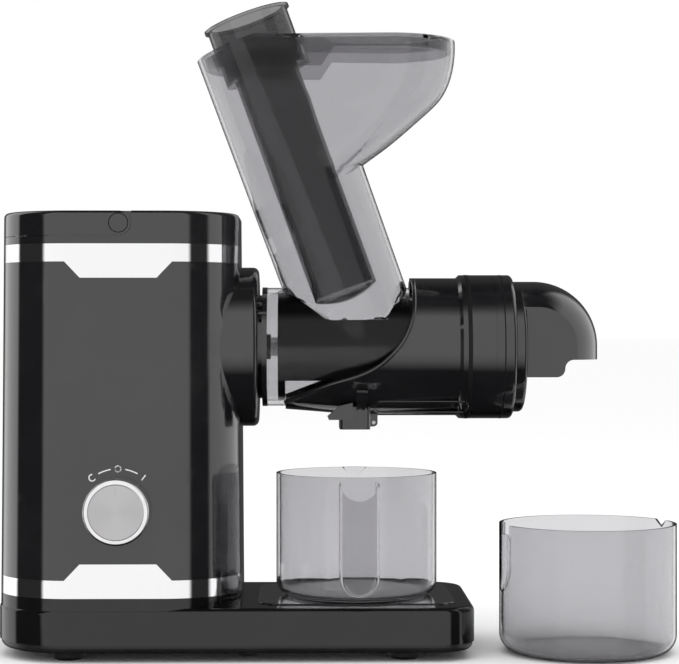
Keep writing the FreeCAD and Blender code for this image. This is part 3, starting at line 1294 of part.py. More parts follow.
def under_rim(drop):
    """The space below the hopper's rim: level on the right, square to the chute on the left."""
    level = box(CHUTE_TOP_X - FAR, CHUTE_TOP_X + FAR, -FAR, FAR, RIM_Z - 2 * FAR, RIM_Z - drop)
    block = box(-FAR, FAR, -FAR, FAR, -2 * FAR, 0.0)
    block.rotate(FreeCAD.Vector(0, 0, 0), FreeCAD.Vector(0, 1, 0), -CHUTE_TILT)
    block.translate(FreeCAD.Vector(CHUTE_TOP_X, 0, RIM_Z) - CHUTE_AXIS * drop)
    return level.common(block)


def mouth(inset, low):
    """The hopper's inside, above the level low, grown or shrunk by inset."""
    inside = chute_cone(-inset, MOUTH_RISE).fuse(scoop(inset))
    return inside.common(box(-FAR, FAR, -FAR, FAR, low, RIM_Z + 2 * MOUTH_RISE))


def chute_hopper():
    barrel = rod_x(BARREL_RADIUS, FLANGE_X + FLANGE_THICK, BARREL_END_X)
    outer = barrel.fuse(mouth(0.0, AXIS_Z).common(under_rim(0.0)))
    bore = rod_x(BARREL_RADIUS - BARREL_WALL, FLANGE_X, BARREL_END_X + SMALL)
    beyond = box(BARREL_END_X, BODY_END_X, -BODY_RADIUS, BODY_RADIUS, AXIS_Z - BODY_RADIUS,
                 AXIS_Z + BARREL_RADIUS)
    return outer.cut(mouth(CHUTE_WALL, AXIS_Z)).cut(bore).cut(beyond)


def hopper_lid():
    edge = CHUTE_WALL + LID_GAP
    low = RIM_Z - LID_COLLAR
    skirt = RIM_Z - LID_SKIRT
    plate = mouth(edge, low - WEDGE_DEPTH * 2).common(under_rim(0.0))
    hollow = mouth(edge + LID_WALL, low - WEDGE_DEPTH * 3).common(under_rim(LID_WALL))
    lid = plate.cut(hollow)
    sleeve = chute_rod(PUSHER_UPPER_RADIUS + GAP + LID_WALL, -LID_COLLAR - SLEEVE_DROP, SLEEVE_RISE)
    lid = lid.fuse(sleeve.common(under_rim(0.0)))
    right = SCOOP_LEVELS[0][1] + 2 * LID_MARGIN
    left = CHUTE_TOP_X - CHUTE_RADIUS - MOUTH_RISE
    side = SCOOP_LEVELS[0][3] + LID_MARGIN
    outline = [(LID_COLLAR_X, low), (LID_COLLAR_X + LID_SLOPE, skirt), (right, skirt),
               (right, RIM_Z + LID_MARGIN), (left, RIM_Z + LID_MARGIN), (left, low)]
    lid = lid.common(side_prism(outline, -side, side))
    return lid.cut(chute_rod(PUSHER_UPPER_RADIUS + GAP, -LID_COLLAR * 3, MOUTH_RISE))


def pusher():
    flange = chute_rod(PUSHER_FLANGE_RADIUS, PUSHER_STANDS - PUSHER_FLANGE_THICK, PUSHER_STANDS)
    upper = chute_rod(PUSHER_UPPER_RADIUS, -PUSHER_STEP, PUSHER_STANDS)
    lower = chute_rod(PUSHER_RADIUS, -PUSHER_REACH, PUSHER_STANDS)
    dome_radius = (PUSHER_RADIUS ** 2 + PUSHER_DOME ** 2) / (2 * PUSHER_DOME)
    depth = PUSHER_REACH + PUSHER_DOME - dome_radius
    centre = FreeCAD.Vector(CHUTE_TOP_X, 0, RIM_Z) - CHUTE_AXIS * depth
    dome = Part.makeSphere(dome_radius, centre)
    dome = dome.common(chute_rod(PUSHER_RADIUS, -PUSHER_REACH - PUSHER_DOME - SMALL, -PUSHER_REACH))
    body = flange.fuse(upper).fuse(lower).fuse(dome)
    wide = chute_rod(PUSHER_UPPER_RADIUS - PUSHER_WALL, -PUSHER_STEP + PUSHER_WALL,
                     PUSHER_STANDS + SMALL)
    deep = chute_rod(PUSHER_RADIUS - PUSHER_WALL, -PUSHER_REACH + PUSHER_WALL, PUSHER_STANDS)
    return body.cut(wide).cut(deep).removeSplitter()


# ---- End cap with the pulp spout, its bush and the ring nut

def ring_nut():
    nut = rod_x(COLLAR_RADIUS, COLLAR_END_X + NUT_GAP, NUT_END_X)
    face = edges_at(nut, lambda b: b.XMin > NUT_END_X - TOUCH)
    nut = nut.makeFillet(NUT_ROUND, face)
    seat = rod_x(CAP_FLANGE_RADIUS + GAP, COLLAR_END_X - SMALL, NUT_END_X - NUT_LIP + SEAT_GAP)
    return nut.cut(seat).cut(rod_x(CAP_RADIUS + GAP, COLLAR_END_X, NUT_END_X + SMALL))


def spout_form(inset):
    """The hood's outer form, or with an inset its inside: along +X, round a bend, then down."""
    radius = SPOUT_BEND_RADIUS - inset
    half = SPOUT_HALF_WIDTH - inset
    low = spout_bend_z()
    foot_z = SPOUT_LOW_Z - (SMALL if inset else 0)
    side_z = math.sqrt(radius ** 2 - half ** 2)
    x = SPOUT_BEND_X
    corners = [FreeCAD.Vector(x, -half, low), FreeCAD.Vector(x, -half, low + side_z),
               FreeCAD.Vector(x, half, low + side_z), FreeCAD.Vector(x, half, low)]
    crown = Part.Arc(corners[1], FreeCAD.Vector(x, 0, low + radius), corners[2]).toShape()
    edges = [Part.LineSegment(corners[0], corners[1]).toShape(), crown,
             Part.LineSegment(corners[2], corners[3]).toShape(),
             Part.LineSegment(corners[3], corners[0]).toShape()]
    section = Part.Face(Part.Wire(edges))
    start = nut_thread_x() + CAP_FLANGE_THICK
    along = section.extrude(FreeCAD.Vector(start - x, 0, 0))
    bend = section.revolve(FreeCAD.Vector(x, 0, low), FreeCAD.Vector(0, 1, 0), 90)
    section.rotate(FreeCAD.Vector(x, 0, low), FreeCAD.Vector(0, 1, 0), 90)
    down = section.extrude(FreeCAD.Vector(0, 0, foot_z - low))
    return along.fuse(bend).fuse(down).fuse(box(start, x, -half, half, foot_z, low))


def spout_bend_z():
    return AXIS_Z + CAP_RADIUS - SPOUT_BEND_RADIUS


def spout_cutaway():
    """What the S-shaped lower edge of the hood leaves open, seen from the side."""
    step = (SPOUT_HIGH_Z - SPOUT_LOW_Z) / 2
    x = SPOUT_STEP_X
    y = -SPOUT_HALF_WIDTH - SMALL
    far = SPOUT_BEND_X + SPOUT_BEND_RADIUS + SMALL
    below = SPOUT_LOW_Z - step
    diagonal = step * math.sqrt(0.5)
    start = FreeCAD.Vector(x - step, y, SPOUT_LOW_Z)
    middle = FreeCAD.Vector(x, y, SPOUT_LOW_Z + step)
    end = FreeCAD.Vector(x + step, y, SPOUT_HIGH_Z)
    first = FreeCAD.Vector(x - step + diagonal, y, SPOUT_LOW_Z + step - diagonal)
    second = FreeCAD.Vector(x + step - diagonal, y, SPOUT_HIGH_Z - step + diagonal)
    corners = [end, FreeCAD.Vector(far, y, SPOUT_HIGH_Z), FreeCAD.Vector(far, y, below),
               FreeCAD.Vector(x - step, y, below), start]
    edges = [Part.Arc(start, first, middle).toShape(), Part.Arc(middle, second, end).toShape()]
    for here, following in zip(corners, corners[1:]):
        edges.append(Part.LineSegment(here, following).toShape())
    face = Part.Face(Part.Wire(edges))
    return face.extrude(FreeCAD.Vector(0, -2 * y, 0))


def end_cap():
    plate_x = nut_thread_x()
    inner_x = plate_x + CAP_FLANGE_THICK
    far = SPOUT_BEND_X + CAP_RADIUS
    top = AXIS_Z + CAP_RADIUS
    flange = rod_x(CAP_FLANGE_RADIUS, plate_x, inner_x - 2 * SEAT_GAP)
    rim = rod_x(CAP_RADIUS, plate_x + SMALL, CAP_RIM_END_X)
    face = edges_at(rim, lambda b: b.XMin > CAP_RIM_END_X - TOUCH)
    rim = rim.makeFillet(CAP_ROUND, face)
    room = rod_x(CAP_RADIUS, plate_x, far).fuse(
        box(CAP_RIM_END_X, far, -CAP_RADIUS, CAP_RADIUS, SPOUT_LOW_Z, top))
    body = flange.fuse(rim).fuse(spout_form(0.0).common(room))
    hollow = spout_form(WALL).common(
        box(inner_x, far, -CAP_RADIUS, CAP_RADIUS, SPOUT_LOW_Z - SMALL, top))
    floor_z = SPOUT_LOW_Z + WALL
    rim_floor = box(plate_x, CAP_RIM_END_X + TOUCH, -CAP_RADIUS, CAP_RADIUS, AXIS_Z - CAP_RADIUS,
                    floor_z)
    body = body.cut(hollow.cut(rim_floor)).cut(spout_cutaway())
    pulp_exit = box(plate_x - SMALL, inner_x + SMALL, -PULP_EXIT / 2, PULP_EXIT / 2, floor_z,
                    AXIS_Z - BUSH_RADIUS - 2 * SMALL)
    body = body.cut(pulp_exit).fuse(rod_x(BUSH_RADIUS + WALL, plate_x, inner_x + BOSS_LENGTH))
    return body.cut(rod_x(BUSH_RADIUS, plate_x - SMALL, inner_x + BOSS_LENGTH / 2))


def end_bush():
    start = nut_thread_x()
    return ring_x(BUSH_RADIUS, TIP_RADIUS + FIT_GAP, start, start + CAP_FLANGE_THICK + BOSS_LENGTH / 2)


# ---- Jug and pulp container

def vessel(radius, wall, height, foot_round, x, y, z):
    """A round vessel's outer form and its inside, which stands out above the rim."""
    outer = rod_z(radius, z, z + height, x, y)
    low = edges_at(outer, lambda b: b.ZMax < z + TOUCH)
    outer = outer.makeFillet(foot_round, low)
    floor = z + wall
    inner = rod_z(radius - wall, floor, z + 2 * height, x, y)
    low = edges_at(inner, lambda b: b.ZMax < floor + TOUCH)
    return outer, inner.makeFillet(foot_round - wall, low)


def jug_grip(width, y0, y1, bottom, top):
    """A pocket shape: straight sides and a half-round bottom, seen from the front."""
    half = width / 2
    upright = box(JUG_X - half, JUG_X + half, y0, y1, bottom + half, top)
    return upright.fuse(rod_y(half, y0, y1, JUG_X, bottom + half)).removeSplitter()


def juice_jug():
    base = PAD_TOP + JUG_LIFT
    outer, inner = vessel(JUG_RADIUS, JUG_WALL, JUG_HEIGHT, JUG_FOOT_ROUND, JUG_X, 0.0, base)
    front = -JUG_RADIUS - JUG_GRIP_REACH
    back = -JUG_RADIUS + JUG_FOOT_ROUND
    grip = jug_grip(JUG_GRIP_WIDTH, front, back, JUG_GRIP_BOTTOM, JUG_GRIP_TOP)
    edge = edges_at(grip, lambda b: b.YMax < front + TOUCH)
    grip = grip.makeFillet(JUG_GRIP_ROUND, edge)
    low, high, tall = JUG_LIP
    up = FreeCAD.Vector(0, 0, 1)
    foot_of_lip = FreeCAD.Vector(JUG_X, JUG_RADIUS - JUG_LIP_INSET, base + JUG_HEIGHT - tall)
    lip = Part.makeCone(low, high, tall, foot_of_lip, up)
    lip_hollow = Part.makeCone(low - JUG_LIP_WALL, high - JUG_LIP_WALL, tall, foot_of_lip + up * SMALL, up)
    pocket = jug_grip(JUG_GRIP_WIDTH - 2 * JUG_WALL, front + JUG_WALL, back,
                      JUG_GRIP_BOTTOM + JUG_WALL, JUG_GRIP_TOP + JUG_FOOT_ROUND)
    dip = rod_y(JUG_GRIP_WIDTH / 2 - SMALL, front - SMALL, front + JUG_GRIP_REACH * JUG_DIP_SHARE,
                JUG_X, JUG_GRIP_TOP + SMALL)
    inside = rod_z(JUG_RADIUS - JUG_WALL / 2, base, base + JUG_HEIGHT, JUG_X)
    grip = grip.cut(pocket).cut(dip).cut(inside)
    return outer.fuse(lip).fuse(grip).cut(inner).cut(lip_hollow)


def capsule(radius, x, y, z0, z1):
    return rod_z(radius, z0, z1, x, y).fuse(Part.makeSphere(radius, FreeCAD.Vector(x, y, z0)))


def pulp_container():
    outer, inner = vessel(BIN_RADIUS, BIN_WALL, BIN_HEIGHT, BIN_FOOT_ROUND, BIN_X, BIN_Y, 0.0)
    shell = outer.cut(inner)
    far = BIN_RADIUS + FLUTE_RADIUS - FLUTE_DEPTH
    x = BIN_X + far * math.cos(math.radians(FLUTE_ANGLE))
    y = BIN_Y + far * math.sin(math.radians(FLUTE_ANGLE))
    low = FLUTE_BOTTOM + FLUTE_RISE
    flute = capsule(FLUTE_RADIUS, x, y, low, 2 * BIN_HEIGHT)
    backing = capsule(FLUTE_RADIUS + BIN_WALL, x, y, low, BIN_HEIGHT)
    backing = backing.common(rod_z(BIN_RADIUS - BIN_WALL / 2, BIN_WALL, BIN_HEIGHT, BIN_X, BIN_Y))
    shell = shell.fuse(backing).cut(flute)
    shell = shell.cut(box(x, x + FLUTE_RADIUS + NOTCH_DROP, y - NOTCH_HALF, y + NOTCH_HALF,
                          BIN_HEIGHT - NOTCH_DROP, BIN_HEIGHT + SMALL))
    angle = math.radians(BEAK_ANGLE)
    tip = FreeCAD.Vector(BIN_X + BIN_RADIUS * math.cos(angle), BIN_Y + BIN_RADIUS * math.sin(angle),
                         BIN_HEIGHT - BEAK_START)
    return shell.cut(Part.makeCone(*BEAK, tip, FreeCAD.Vector(0, 0, 1)))


def build_all():
    bearing_start = box_back_x() - BEARING_WIDTH
    return {
        "base_shell": base_shell(),
        "tray_pad": tray_pad(),
        "bottom_cover": bottom_cover(),
        "base_screws": base_screws(),
        "foot_front_left": foot(FOOT_LEFT_X, -FOOT_Y),
        "foot_front_right": foot(FOOT_RIGHT_X, -FOOT_Y),
        "foot_rear_left": foot(FOOT_LEFT_X, FOOT_Y),
        "foot_rear_right": foot(FOOT_RIGHT_X, FOOT_Y),
        "stud_feet": stud_feet(),
        "lower_band": lower_band(),
        "tower_shell": tower_shell(),
        "rear_cover": rear_cover(),
        "cover_screws": cover_screws(),
        "cord_gland": cord_gland(),
        "upper_band": upper_band(),
        "top_cap": top_cap(),
        "carry_handle": carry_handle(),
        "handle_pin_front": handle_pin(-1),
        "handle_pin_rear": handle_pin(1),
        "knob_skirt": knob_skirt(),
        "knob_face": knob_face(),
        "knob_shaft": knob_shaft(),
        "rotary_switch": rotary_switch(),
        "hub_collar": hub_collar(),
        "output_shaft": output_shaft(),
        "output_gear": output_gear(),
        "idler_gear": idler_gear(),
        "idler_axle": idler_axle(),
        "pinion_gear": pinion_gear(),
        "gearbox_housing": gearbox_housing(),
        "gearbox_cover": gearbox_cover(),
        "bearing_rear": bearing(bearing_start, bearing_start + BEARING_WIDTH),
        "bearing_front": bearing(box_front_x(), HUB_BACK_X),
        "motor_frame": motor_frame(),
        "stator": stator(),
        "rotor": rotor(),
        "motor_shaft": motor_shaft(),
        "cooling_fan": cooling_fan(),
        "circuit_board": circuit_board(),
        "drum_flange": drum_flange(),
        "shaft_seal": shaft_seal(),
        "chute_hopper": chute_hopper(),
        "drum_body": drum_body(),
        "feed_guide": feed_guide(),
        "strainer_mesh": strainer_mesh(),
        "strainer_frame": strainer_frame(),
        "auger": auger(),
        "auger_shaft": auger_shaft(),
        "drip_cap": drip_cap(),
        "drip_cap_pin": drip_cap_pin(),
        "hopper_lid": hopper_lid(),
        "pusher": pusher(),
        "end_cap": end_cap(),
        "end_bush": end_bush(),
        "ring_nut": ring_nut(),
        "juice_jug": juice_jug(),
        "pulp_container": pulp_container(),
    }


def main():
    os.makedirs("parts", exist_ok=True)
    shapes = build_all()
    whole = FreeCAD.BoundBox()
    for shape in shapes.values():
        whole.add(shape.optimalBoundingBox(False))
    shift = FreeCAD.Vector(-whole.Center.x, -whole.Center.y, -whole.ZMin)
    for name, shape in shapes.items():
        shape.translate(shift)
        shape.exportStep(os.path.join("parts", name + ".step"))
        print(name, "solids", len(shape.Solids), "valid", shape.isValid(), "volume", round(shape.Volume))
    print("shift", shift)
    print("size", whole.XLength, whole.YLength, whole.ZLength)


main()
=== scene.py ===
import json
import math

import bpy
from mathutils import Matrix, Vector

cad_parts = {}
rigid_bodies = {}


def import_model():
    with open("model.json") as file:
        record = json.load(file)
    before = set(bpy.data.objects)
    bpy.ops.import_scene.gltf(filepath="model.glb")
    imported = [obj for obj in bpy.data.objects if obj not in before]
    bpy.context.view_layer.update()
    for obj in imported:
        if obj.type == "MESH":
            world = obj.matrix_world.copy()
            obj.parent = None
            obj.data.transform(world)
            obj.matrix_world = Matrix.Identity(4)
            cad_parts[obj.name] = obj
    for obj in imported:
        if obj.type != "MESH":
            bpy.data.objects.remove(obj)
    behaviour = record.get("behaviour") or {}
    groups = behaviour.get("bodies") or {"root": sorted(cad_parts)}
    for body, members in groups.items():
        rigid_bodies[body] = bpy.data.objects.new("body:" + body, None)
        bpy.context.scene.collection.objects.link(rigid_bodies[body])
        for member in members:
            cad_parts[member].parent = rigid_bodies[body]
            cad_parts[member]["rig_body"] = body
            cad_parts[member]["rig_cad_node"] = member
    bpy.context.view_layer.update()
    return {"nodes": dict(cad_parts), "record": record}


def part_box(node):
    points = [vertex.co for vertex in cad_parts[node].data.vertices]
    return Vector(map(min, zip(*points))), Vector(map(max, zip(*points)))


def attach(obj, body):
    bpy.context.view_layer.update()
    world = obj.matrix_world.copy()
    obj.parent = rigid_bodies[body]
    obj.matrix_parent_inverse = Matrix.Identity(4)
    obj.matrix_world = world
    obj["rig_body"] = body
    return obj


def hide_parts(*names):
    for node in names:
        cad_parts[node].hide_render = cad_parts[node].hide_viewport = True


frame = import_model()
bodyOf = {}
for bodyName, members in frame["record"]["behaviour"]["bodies"].items():
    for member in members:
        bodyOf[member] = bodyName
print("frame loaded:", len(bodyOf), "nodes")


# Small helpers

def deselectAll():
    if bpy.context.object and bpy.context.object.mode != "OBJECT":
        bpy.ops.object.mode_set(mode="OBJECT")
    bpy.ops.object.select_all(action="DESELECT")


def pick(piece):
    deselectAll()
    piece.select_set(True)
    bpy.context.view_layer.objects.active = piece


def middle(node):
    low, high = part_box(node)
    return (low + high) / 2


def takePlace(piece):
    # puts the piece's place in its mesh, as a node's is
    pick(piece)
    bpy.ops.object.transform_apply(location=True, rotation=True, scale=True)


def giveMaterial(piece, material):
    piece.data.materials.clear()
    piece.data.materials.append(material)


def fitOut(piece, name, body, material):
    piece.name = name
    giveMaterial(piece, material)
    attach(piece, body)
    return piece


# Shader groups that several materials share

def newGroup(name, inputs, outputs):
    group = bpy.data.node_groups.new(name, "ShaderNodeTree")
    for socketName, kind, value in inputs:
        socket = group.interface.new_socket(socketName, in_out="INPUT", socket_type=kind)
        if value is not None:
            socket.default_value = value
    for socketName, kind in outputs:
        group.interface.new_socket(socketName, in_out="OUTPUT", socket_type=kind)
    return group, group.nodes.new("NodeGroupInput"), group.nodes.new("NodeGroupOutput")


def addNode(tree, kind, inputs=(), **settings):
    node = tree.nodes.new(kind)
    for key, value in settings.items():
        setattr(node, key, value)
    for key, value in dict(inputs).items():
        if isinstance(value, bpy.types.NodeSocket):
            tree.links.new(value, node.inputs[key])
        else:
            node.inputs[key].default_value = value
    return node


def mathNode(tree, operation, first, second=0.0, clamp=False):
    node = addNode(tree, "ShaderNodeMath", {0: first, 1: second}, operation=operation, use_clamp=clamp)
    return node.outputs[0]


def remap(tree, value, fromLow, fromHigh, toLow, toHigh):
    inputs = {"Value": value, "From Min": fromLow, "From Max": fromHigh, "To Min": toLow, "To Max": toHigh}
    return addNode(tree, "ShaderNodeMapRange", inputs).outputs["Result"]


def makeSmudges():
    # soft finger marks and dust, from 0 where clean to 1
    group, given, result = newGroup("smudges", [("Vector", "NodeSocketVector", None),
                                                ("Scale", "NodeSocketFloat", 18.0)],
                                    [("Mask", "NodeSocketFloat")])
    broad = addNode(group, "ShaderNodeTexNoise", {"Vector": given.outputs["Vector"],
                                                  "Scale": given.outputs["Scale"],
                                                  "Detail": 5.0, "Roughness": 0.62, "Distortion": 0.6})
    fineScale = mathNode(group, "MULTIPLY", given.outputs["Scale"], 7.3)
    fine = addNode(group, "ShaderNodeTexNoise", {"Vector": given.outputs["Vector"], "Scale": fineScale,
                                                 "Detail": 3.0, "Roughness": 0.7})
    broadMask = remap(group, broad.outputs["Fac"], 0.42, 0.72, 0.0, 1.0)
    fineMask = remap(group, fine.outputs["Fac"], 0.35, 0.75, 0.35, 1.0)
    group.links.new(mathNode(group, "MULTIPLY", broadMask, fineMask, True), result.inputs["Mask"])
    return group


def makeScratches():
    # hair-fine scratches in three directions
    group, given, result = newGroup("scratches", [("Vector", "NodeSocketVector", None),
                                                  ("Scale", "NodeSocketFloat", 60.0)],
                                    [("Mask", "NodeSocketFloat")])
    total = None
    for turn, stretch in ((0.4, 0.05), (1.5, 0.08), (2.6, 0.04)):
        mapping = addNode(group, "ShaderNodeMapping", {"Vector": given.outputs["Vector"],
                                                       "Rotation": (turn, 0.7 * turn, turn),
                                                       "Scale": (1.0, stretch, 1.0)})
        noise = addNode(group, "ShaderNodeTexNoise", {"Vector": mapping.outputs["Vector"],
                                                      "Scale": given.outputs["Scale"],
                                                      "Detail": 2.0, "Distortion": 0.25})
        line = remap(group, noise.outputs["Fac"], 0.69, 0.72, 0.0, 1.0)
        total = line if total is None else mathNode(group, "MAXIMUM", total, line)
    group.links.new(total, result.inputs["Mask"])
    return group


def makeGrain():
    # the fine skin of a moulded or cast surface
    group, given, result = newGroup("grain", [("Vector", "NodeSocketVector", None),
                                              ("Scale", "NodeSocketFloat", 900.0)],
                                    [("Height", "NodeSocketFloat"), ("Mask", "NodeSocketFloat")])
    cells = addNode(group, "ShaderNodeTexVoronoi", {"Vector": given.outputs["Vector"],
                                                    "Scale": given.outputs["Scale"]})
    halfScale = mathNode(group, "MULTIPLY", given.outputs["Scale"], 0.45)
    noise = addNode(group, "ShaderNodeTexNoise", {"Vector": given.outputs["Vector"], "Scale": halfScale,
                                                  "Detail": 4.0})
    height = mathNode(group, "MULTIPLY", cells.outputs["Distance"], noise.outputs["Fac"])
    group.links.new(height, result.inputs["Height"])
    group.links.new(remap(group, noise.outputs["Fac"], 0.3, 0.7, 0.0, 1.0), result.inputs["Mask"])
    return group


def makeBrushing():
    # long fine lines; the Vector that comes in is already stretched along them
    group, given, result = newGroup("brushing", [("Vector", "NodeSocketVector", None),
                                                 ("Scale", "NodeSocketFloat", 1500.0)],
                                    [("Mask", "NodeSocketFloat")])
    noise = addNode(group, "ShaderNodeTexNoise", {"Vector": given.outputs["Vector"],
                                                  "Scale": given.outputs["Scale"],
                                                  "Detail": 3.0, "Roughness": 0.75})
    group.links.new(remap(group, noise.outputs["Fac"], 0.3, 0.7, 0.0, 1.0), result.inputs["Mask"])
    return group


groups = {"smudges": makeSmudges(), "scratches": makeScratches(), "grain": makeGrain(),
          "brushing": makeBrushing()}


def useGroup(tree, name, vector, scale, output="Mask"):
    node = tree.nodes.new("ShaderNodeGroup")
    node.node_tree = groups[name]
    tree.links.new(vector, node.inputs["Vector"])
    node.inputs["Scale"].default_value = scale
    return node.outputs[output]


# Materials

def startMaterial(name, sockets):
    material = bpy.data.materials.new(name)
    material.use_nodes = True
    tree = material.node_tree
    shader = tree.nodes["Principled BSDF"]
    for socket, value in sockets.items():
        shader.inputs[socket].default_value = value
    where = tree.nodes.new("ShaderNodeTexCoord").outputs["Object"]
    return material, tree, shader, where


def blendColours(tree, mask, first, second):
    node = addNode(tree, "ShaderNodeMix", {"Factor": mask, "A": first + (1.0,), "B": second + (1.0,)},
                   data_type="RGBA")
    return node.outputs["Result"]


def addBump(tree, shader, height, strength, distance):
    bump = addNode(tree, "ShaderNodeBump", {"Height": height, "Strength": strength, "Distance": distance})
    tree.links.new(bump.outputs["Normal"], shader.inputs["Normal"])


def polishedPlastic(name, colour, dusty, sheen):
    # hard gloss moulding: finger marks dull it a little and hair scratches catch the light
    material, tree, shader, where = startMaterial(name, {"Coat Weight": sheen["coat"],
                                                         "Coat Roughness": sheen["coatRoughness"],
                                                         "IOR": sheen["ior"]})
    smudge = useGroup(tree, "smudges", where, sheen["smudgeScale"])
    scratch = useGroup(tree, "scratches", where, sheen["scratchScale"])
    tree.links.new(blendColours(tree, smudge, colour, dusty), shader.inputs["Base Color"])
    dull = remap(tree, smudge, 0.0, 1.0, sheen["roughness"][0], sheen["roughness"][1])
    rough = mathNode(tree, "ADD", dull, mathNode(tree, "MULTIPLY", scratch, sheen["scratchDulling"]), True)
    tree.links.new(rough, shader.inputs["Roughness"])
    addBump(tree, shader, scratch, sheen["scratchBump"], sheen["depth"])
    return material


def mouldedPlastic(name, colour, worn, finish):
    # satin or matt moulding with a fine skin
    material, tree, shader, where = startMaterial(name, {"IOR": finish["ior"]})
    height = useGroup(tree, "grain", where, finish["grainScale"], "Height")
    mask = useGroup(tree, "smudges", where, finish["smudgeScale"])
    tree.links.new(blendColours(tree, mask, colour, worn), shader.inputs["Base Color"])
    rough = remap(tree, mask, 0.0, 1.0, finish["roughness"][0], finish["roughness"][1])
    tree.links.new(rough, shader.inputs["Roughness"])
    addBump(tree, shader, height, finish["bump"], finish["depth"])
    return material


def metal(name, colour, dark, finish):
    # brushed, turned or plated metal; stretch gives the direction of its lines
    material, tree, shader, where = startMaterial(name, {"Metallic": 1.0})
    mapping = addNode(tree, "ShaderNodeMapping", {"Vector": where, "Scale": finish["stretch"]})
    lines = useGroup(tree, "brushing", mapping.outputs["Vector"], finish["lineScale"])
    smudge = useGroup(tree, "smudges", where, finish["smudgeScale"])
    tree.links.new(blendColours(tree, lines, colour, dark), shader.inputs["Base Color"])
    dull = remap(tree, smudge, 0.0, 1.0, finish["roughness"][0], finish["roughness"][1])
    rough = mathNode(tree, "ADD", dull, mathNode(tree, "MULTIPLY", lines, finish["lineRoughness"]), True)
    tree.links.new(rough, shader.inputs["Roughness"])
    addBump(tree, shader, lines, finish["bump"], finish["depth"])
    return material


def spunMetal(name, centre, finish):
    # a face turned on a lathe: fine rings about an axis along Y
    material, tree, shader, where = startMaterial(name, {"Metallic": 1.0, "Anisotropic": finish["stretched"]})
    around = addNode(tree, "ShaderNodeTangent", direction_type="RADIAL", axis="Y")
    tree.links.new(around.outputs["Tangent"], shader.inputs["Tangent"])
    mapping = addNode(tree, "ShaderNodeMapping", {"Vector": where, "Location": (-centre.x, 0.0, -centre.z),
                                                  "Scale": (1.0, 0.0, 1.0)})
    radius = addNode(tree, "ShaderNodeVectorMath", {0: mapping.outputs["Vector"]}, operation="LENGTH")
    ringVector = addNode(tree, "ShaderNodeCombineXYZ", {"X": radius.outputs["Value"]})
    rings = useGroup(tree, "brushing", ringVector.outputs["Vector"], finish["ringScale"])
    tree.links.new(blendColours(tree, rings, finish["colour"], finish["dark"]), shader.inputs["Base Color"])
    tree.links.new(remap(tree, rings, 0.0, 1.0, *finish["roughness"]), shader.inputs["Roughness"])
    addBump(tree, shader, rings, finish["bump"], finish["depth"])
    return material


def clearPlastic(name, tint, edgeShadeRange, finish):
    # transparent moulding with faint flow marks, and painted shade: its colour darkens to near black where it
    # is seen edge on
    material, tree, shader, where = startMaterial(name, {"IOR": finish["ior"], "Transmission Weight": 1.0,
                                                         "Metallic": 0.0})
    # painted shade: facing picks out the edge-on places, and the mask blends their colour to the near-black
    # edge colour
    weight = addNode(tree, "ShaderNodeLayerWeight", {"Blend": 0.5})
    mask = remap(tree, weight.outputs["Facing"], edgeShadeRange[0], edgeShadeRange[1], 0.0, 1.0)
    tree.links.new(blendColours(tree, mask, tint, finish["edgeShadeColour"]), shader.inputs["Base Color"])
    smudge = useGroup(tree, "smudges", where, finish["smudgeScale"])
    tree.links.new(remap(tree, smudge, 0.0, 1.0, *finish["roughness"]), shader.inputs["Roughness"])
    flow = addNode(tree, "ShaderNodeTexNoise", {"Vector": where, "Scale": finish["flowScale"], "Detail": 1.0})
    addBump(tree, shader, flow.outputs["Fac"], finish["bump"], finish["depth"])
    return material


gloss = {"coat": 1.0, "coatRoughness": 0.03, "smudgeScale": 14.0, "scratchScale": 55.0,
         "roughness": (0.07, 0.16), "ior": 1.5, "scratchDulling": 0.12, "scratchBump": 0.03, "depth": 0.00002}
trayGloss = dict(gloss, smudgeScale=22.0, scratchScale=70.0, roughness=(0.06, 0.2))
baseGloss = dict(gloss, coat=0.15)
drumGloss = dict(gloss, smudgeScale=30.0, scratchScale=80.0, roughness=(0.08, 0.18))
satin = {"grainScale": 1400.0, "smudgeScale": 26.0, "roughness": (0.3, 0.42), "bump": 0.12,
         "ior": 1.48, "depth": 0.00006}
matt = dict(satin, grainScale=900.0, smudgeScale=20.0, roughness=(0.5, 0.66), bump=0.25)
soft = dict(satin, grainScale=700.0, smudgeScale=30.0, roughness=(0.68, 0.85), bump=0.4)
plated = {"stretch": (1.0, 1.0, 0.02), "lineScale": 900.0, "smudgeScale": 20.0, "roughness": (0.04, 0.1),
          "lineRoughness": 0.005, "bump": 0.002, "depth": 0.00002}
alloy = {"stretch": (0.05, 1.0, 0.05), "lineScale": 1600.0, "smudgeScale": 40.0, "roughness": (0.16, 0.24),
         "lineRoughness": 0.1, "bump": 0.05, "depth": 0.00002}
turned = {"stretch": (1.0, 0.03, 0.03), "lineScale": 2200.0, "smudgeScale": 40.0, "roughness": (0.2, 0.34),
          "lineRoughness": 0.12, "bump": 0.1, "depth": 0.00002}
laminated = {"stretch": (1.0, 0.01, 0.01), "lineScale": 2400.0, "smudgeScale": 30.0, "roughness": (0.4, 0.6),
             "lineRoughness": 0.2, "bump": 0.5, "depth": 0.00002}
face = {"ringScale": 5200.0, "colour": (0.72, 0.71, 0.72), "dark": (0.5, 0.49, 0.5), "roughness": (0.28, 0.4),
        "bump": 0.4, "depth": 0.00002, "stretched": 0.85}
# the clear pieces' near-black end colour is painted shade for their edge-on places
clear = {"ior": 1.33, "smudgeScale": 18.0, "roughness": (0.0, 0.02), "flowScale": 14.0, "bump": 0.03,
         "depth": 0.0001, "edgeShadeColour": (0.03, 0.03, 0.032)}

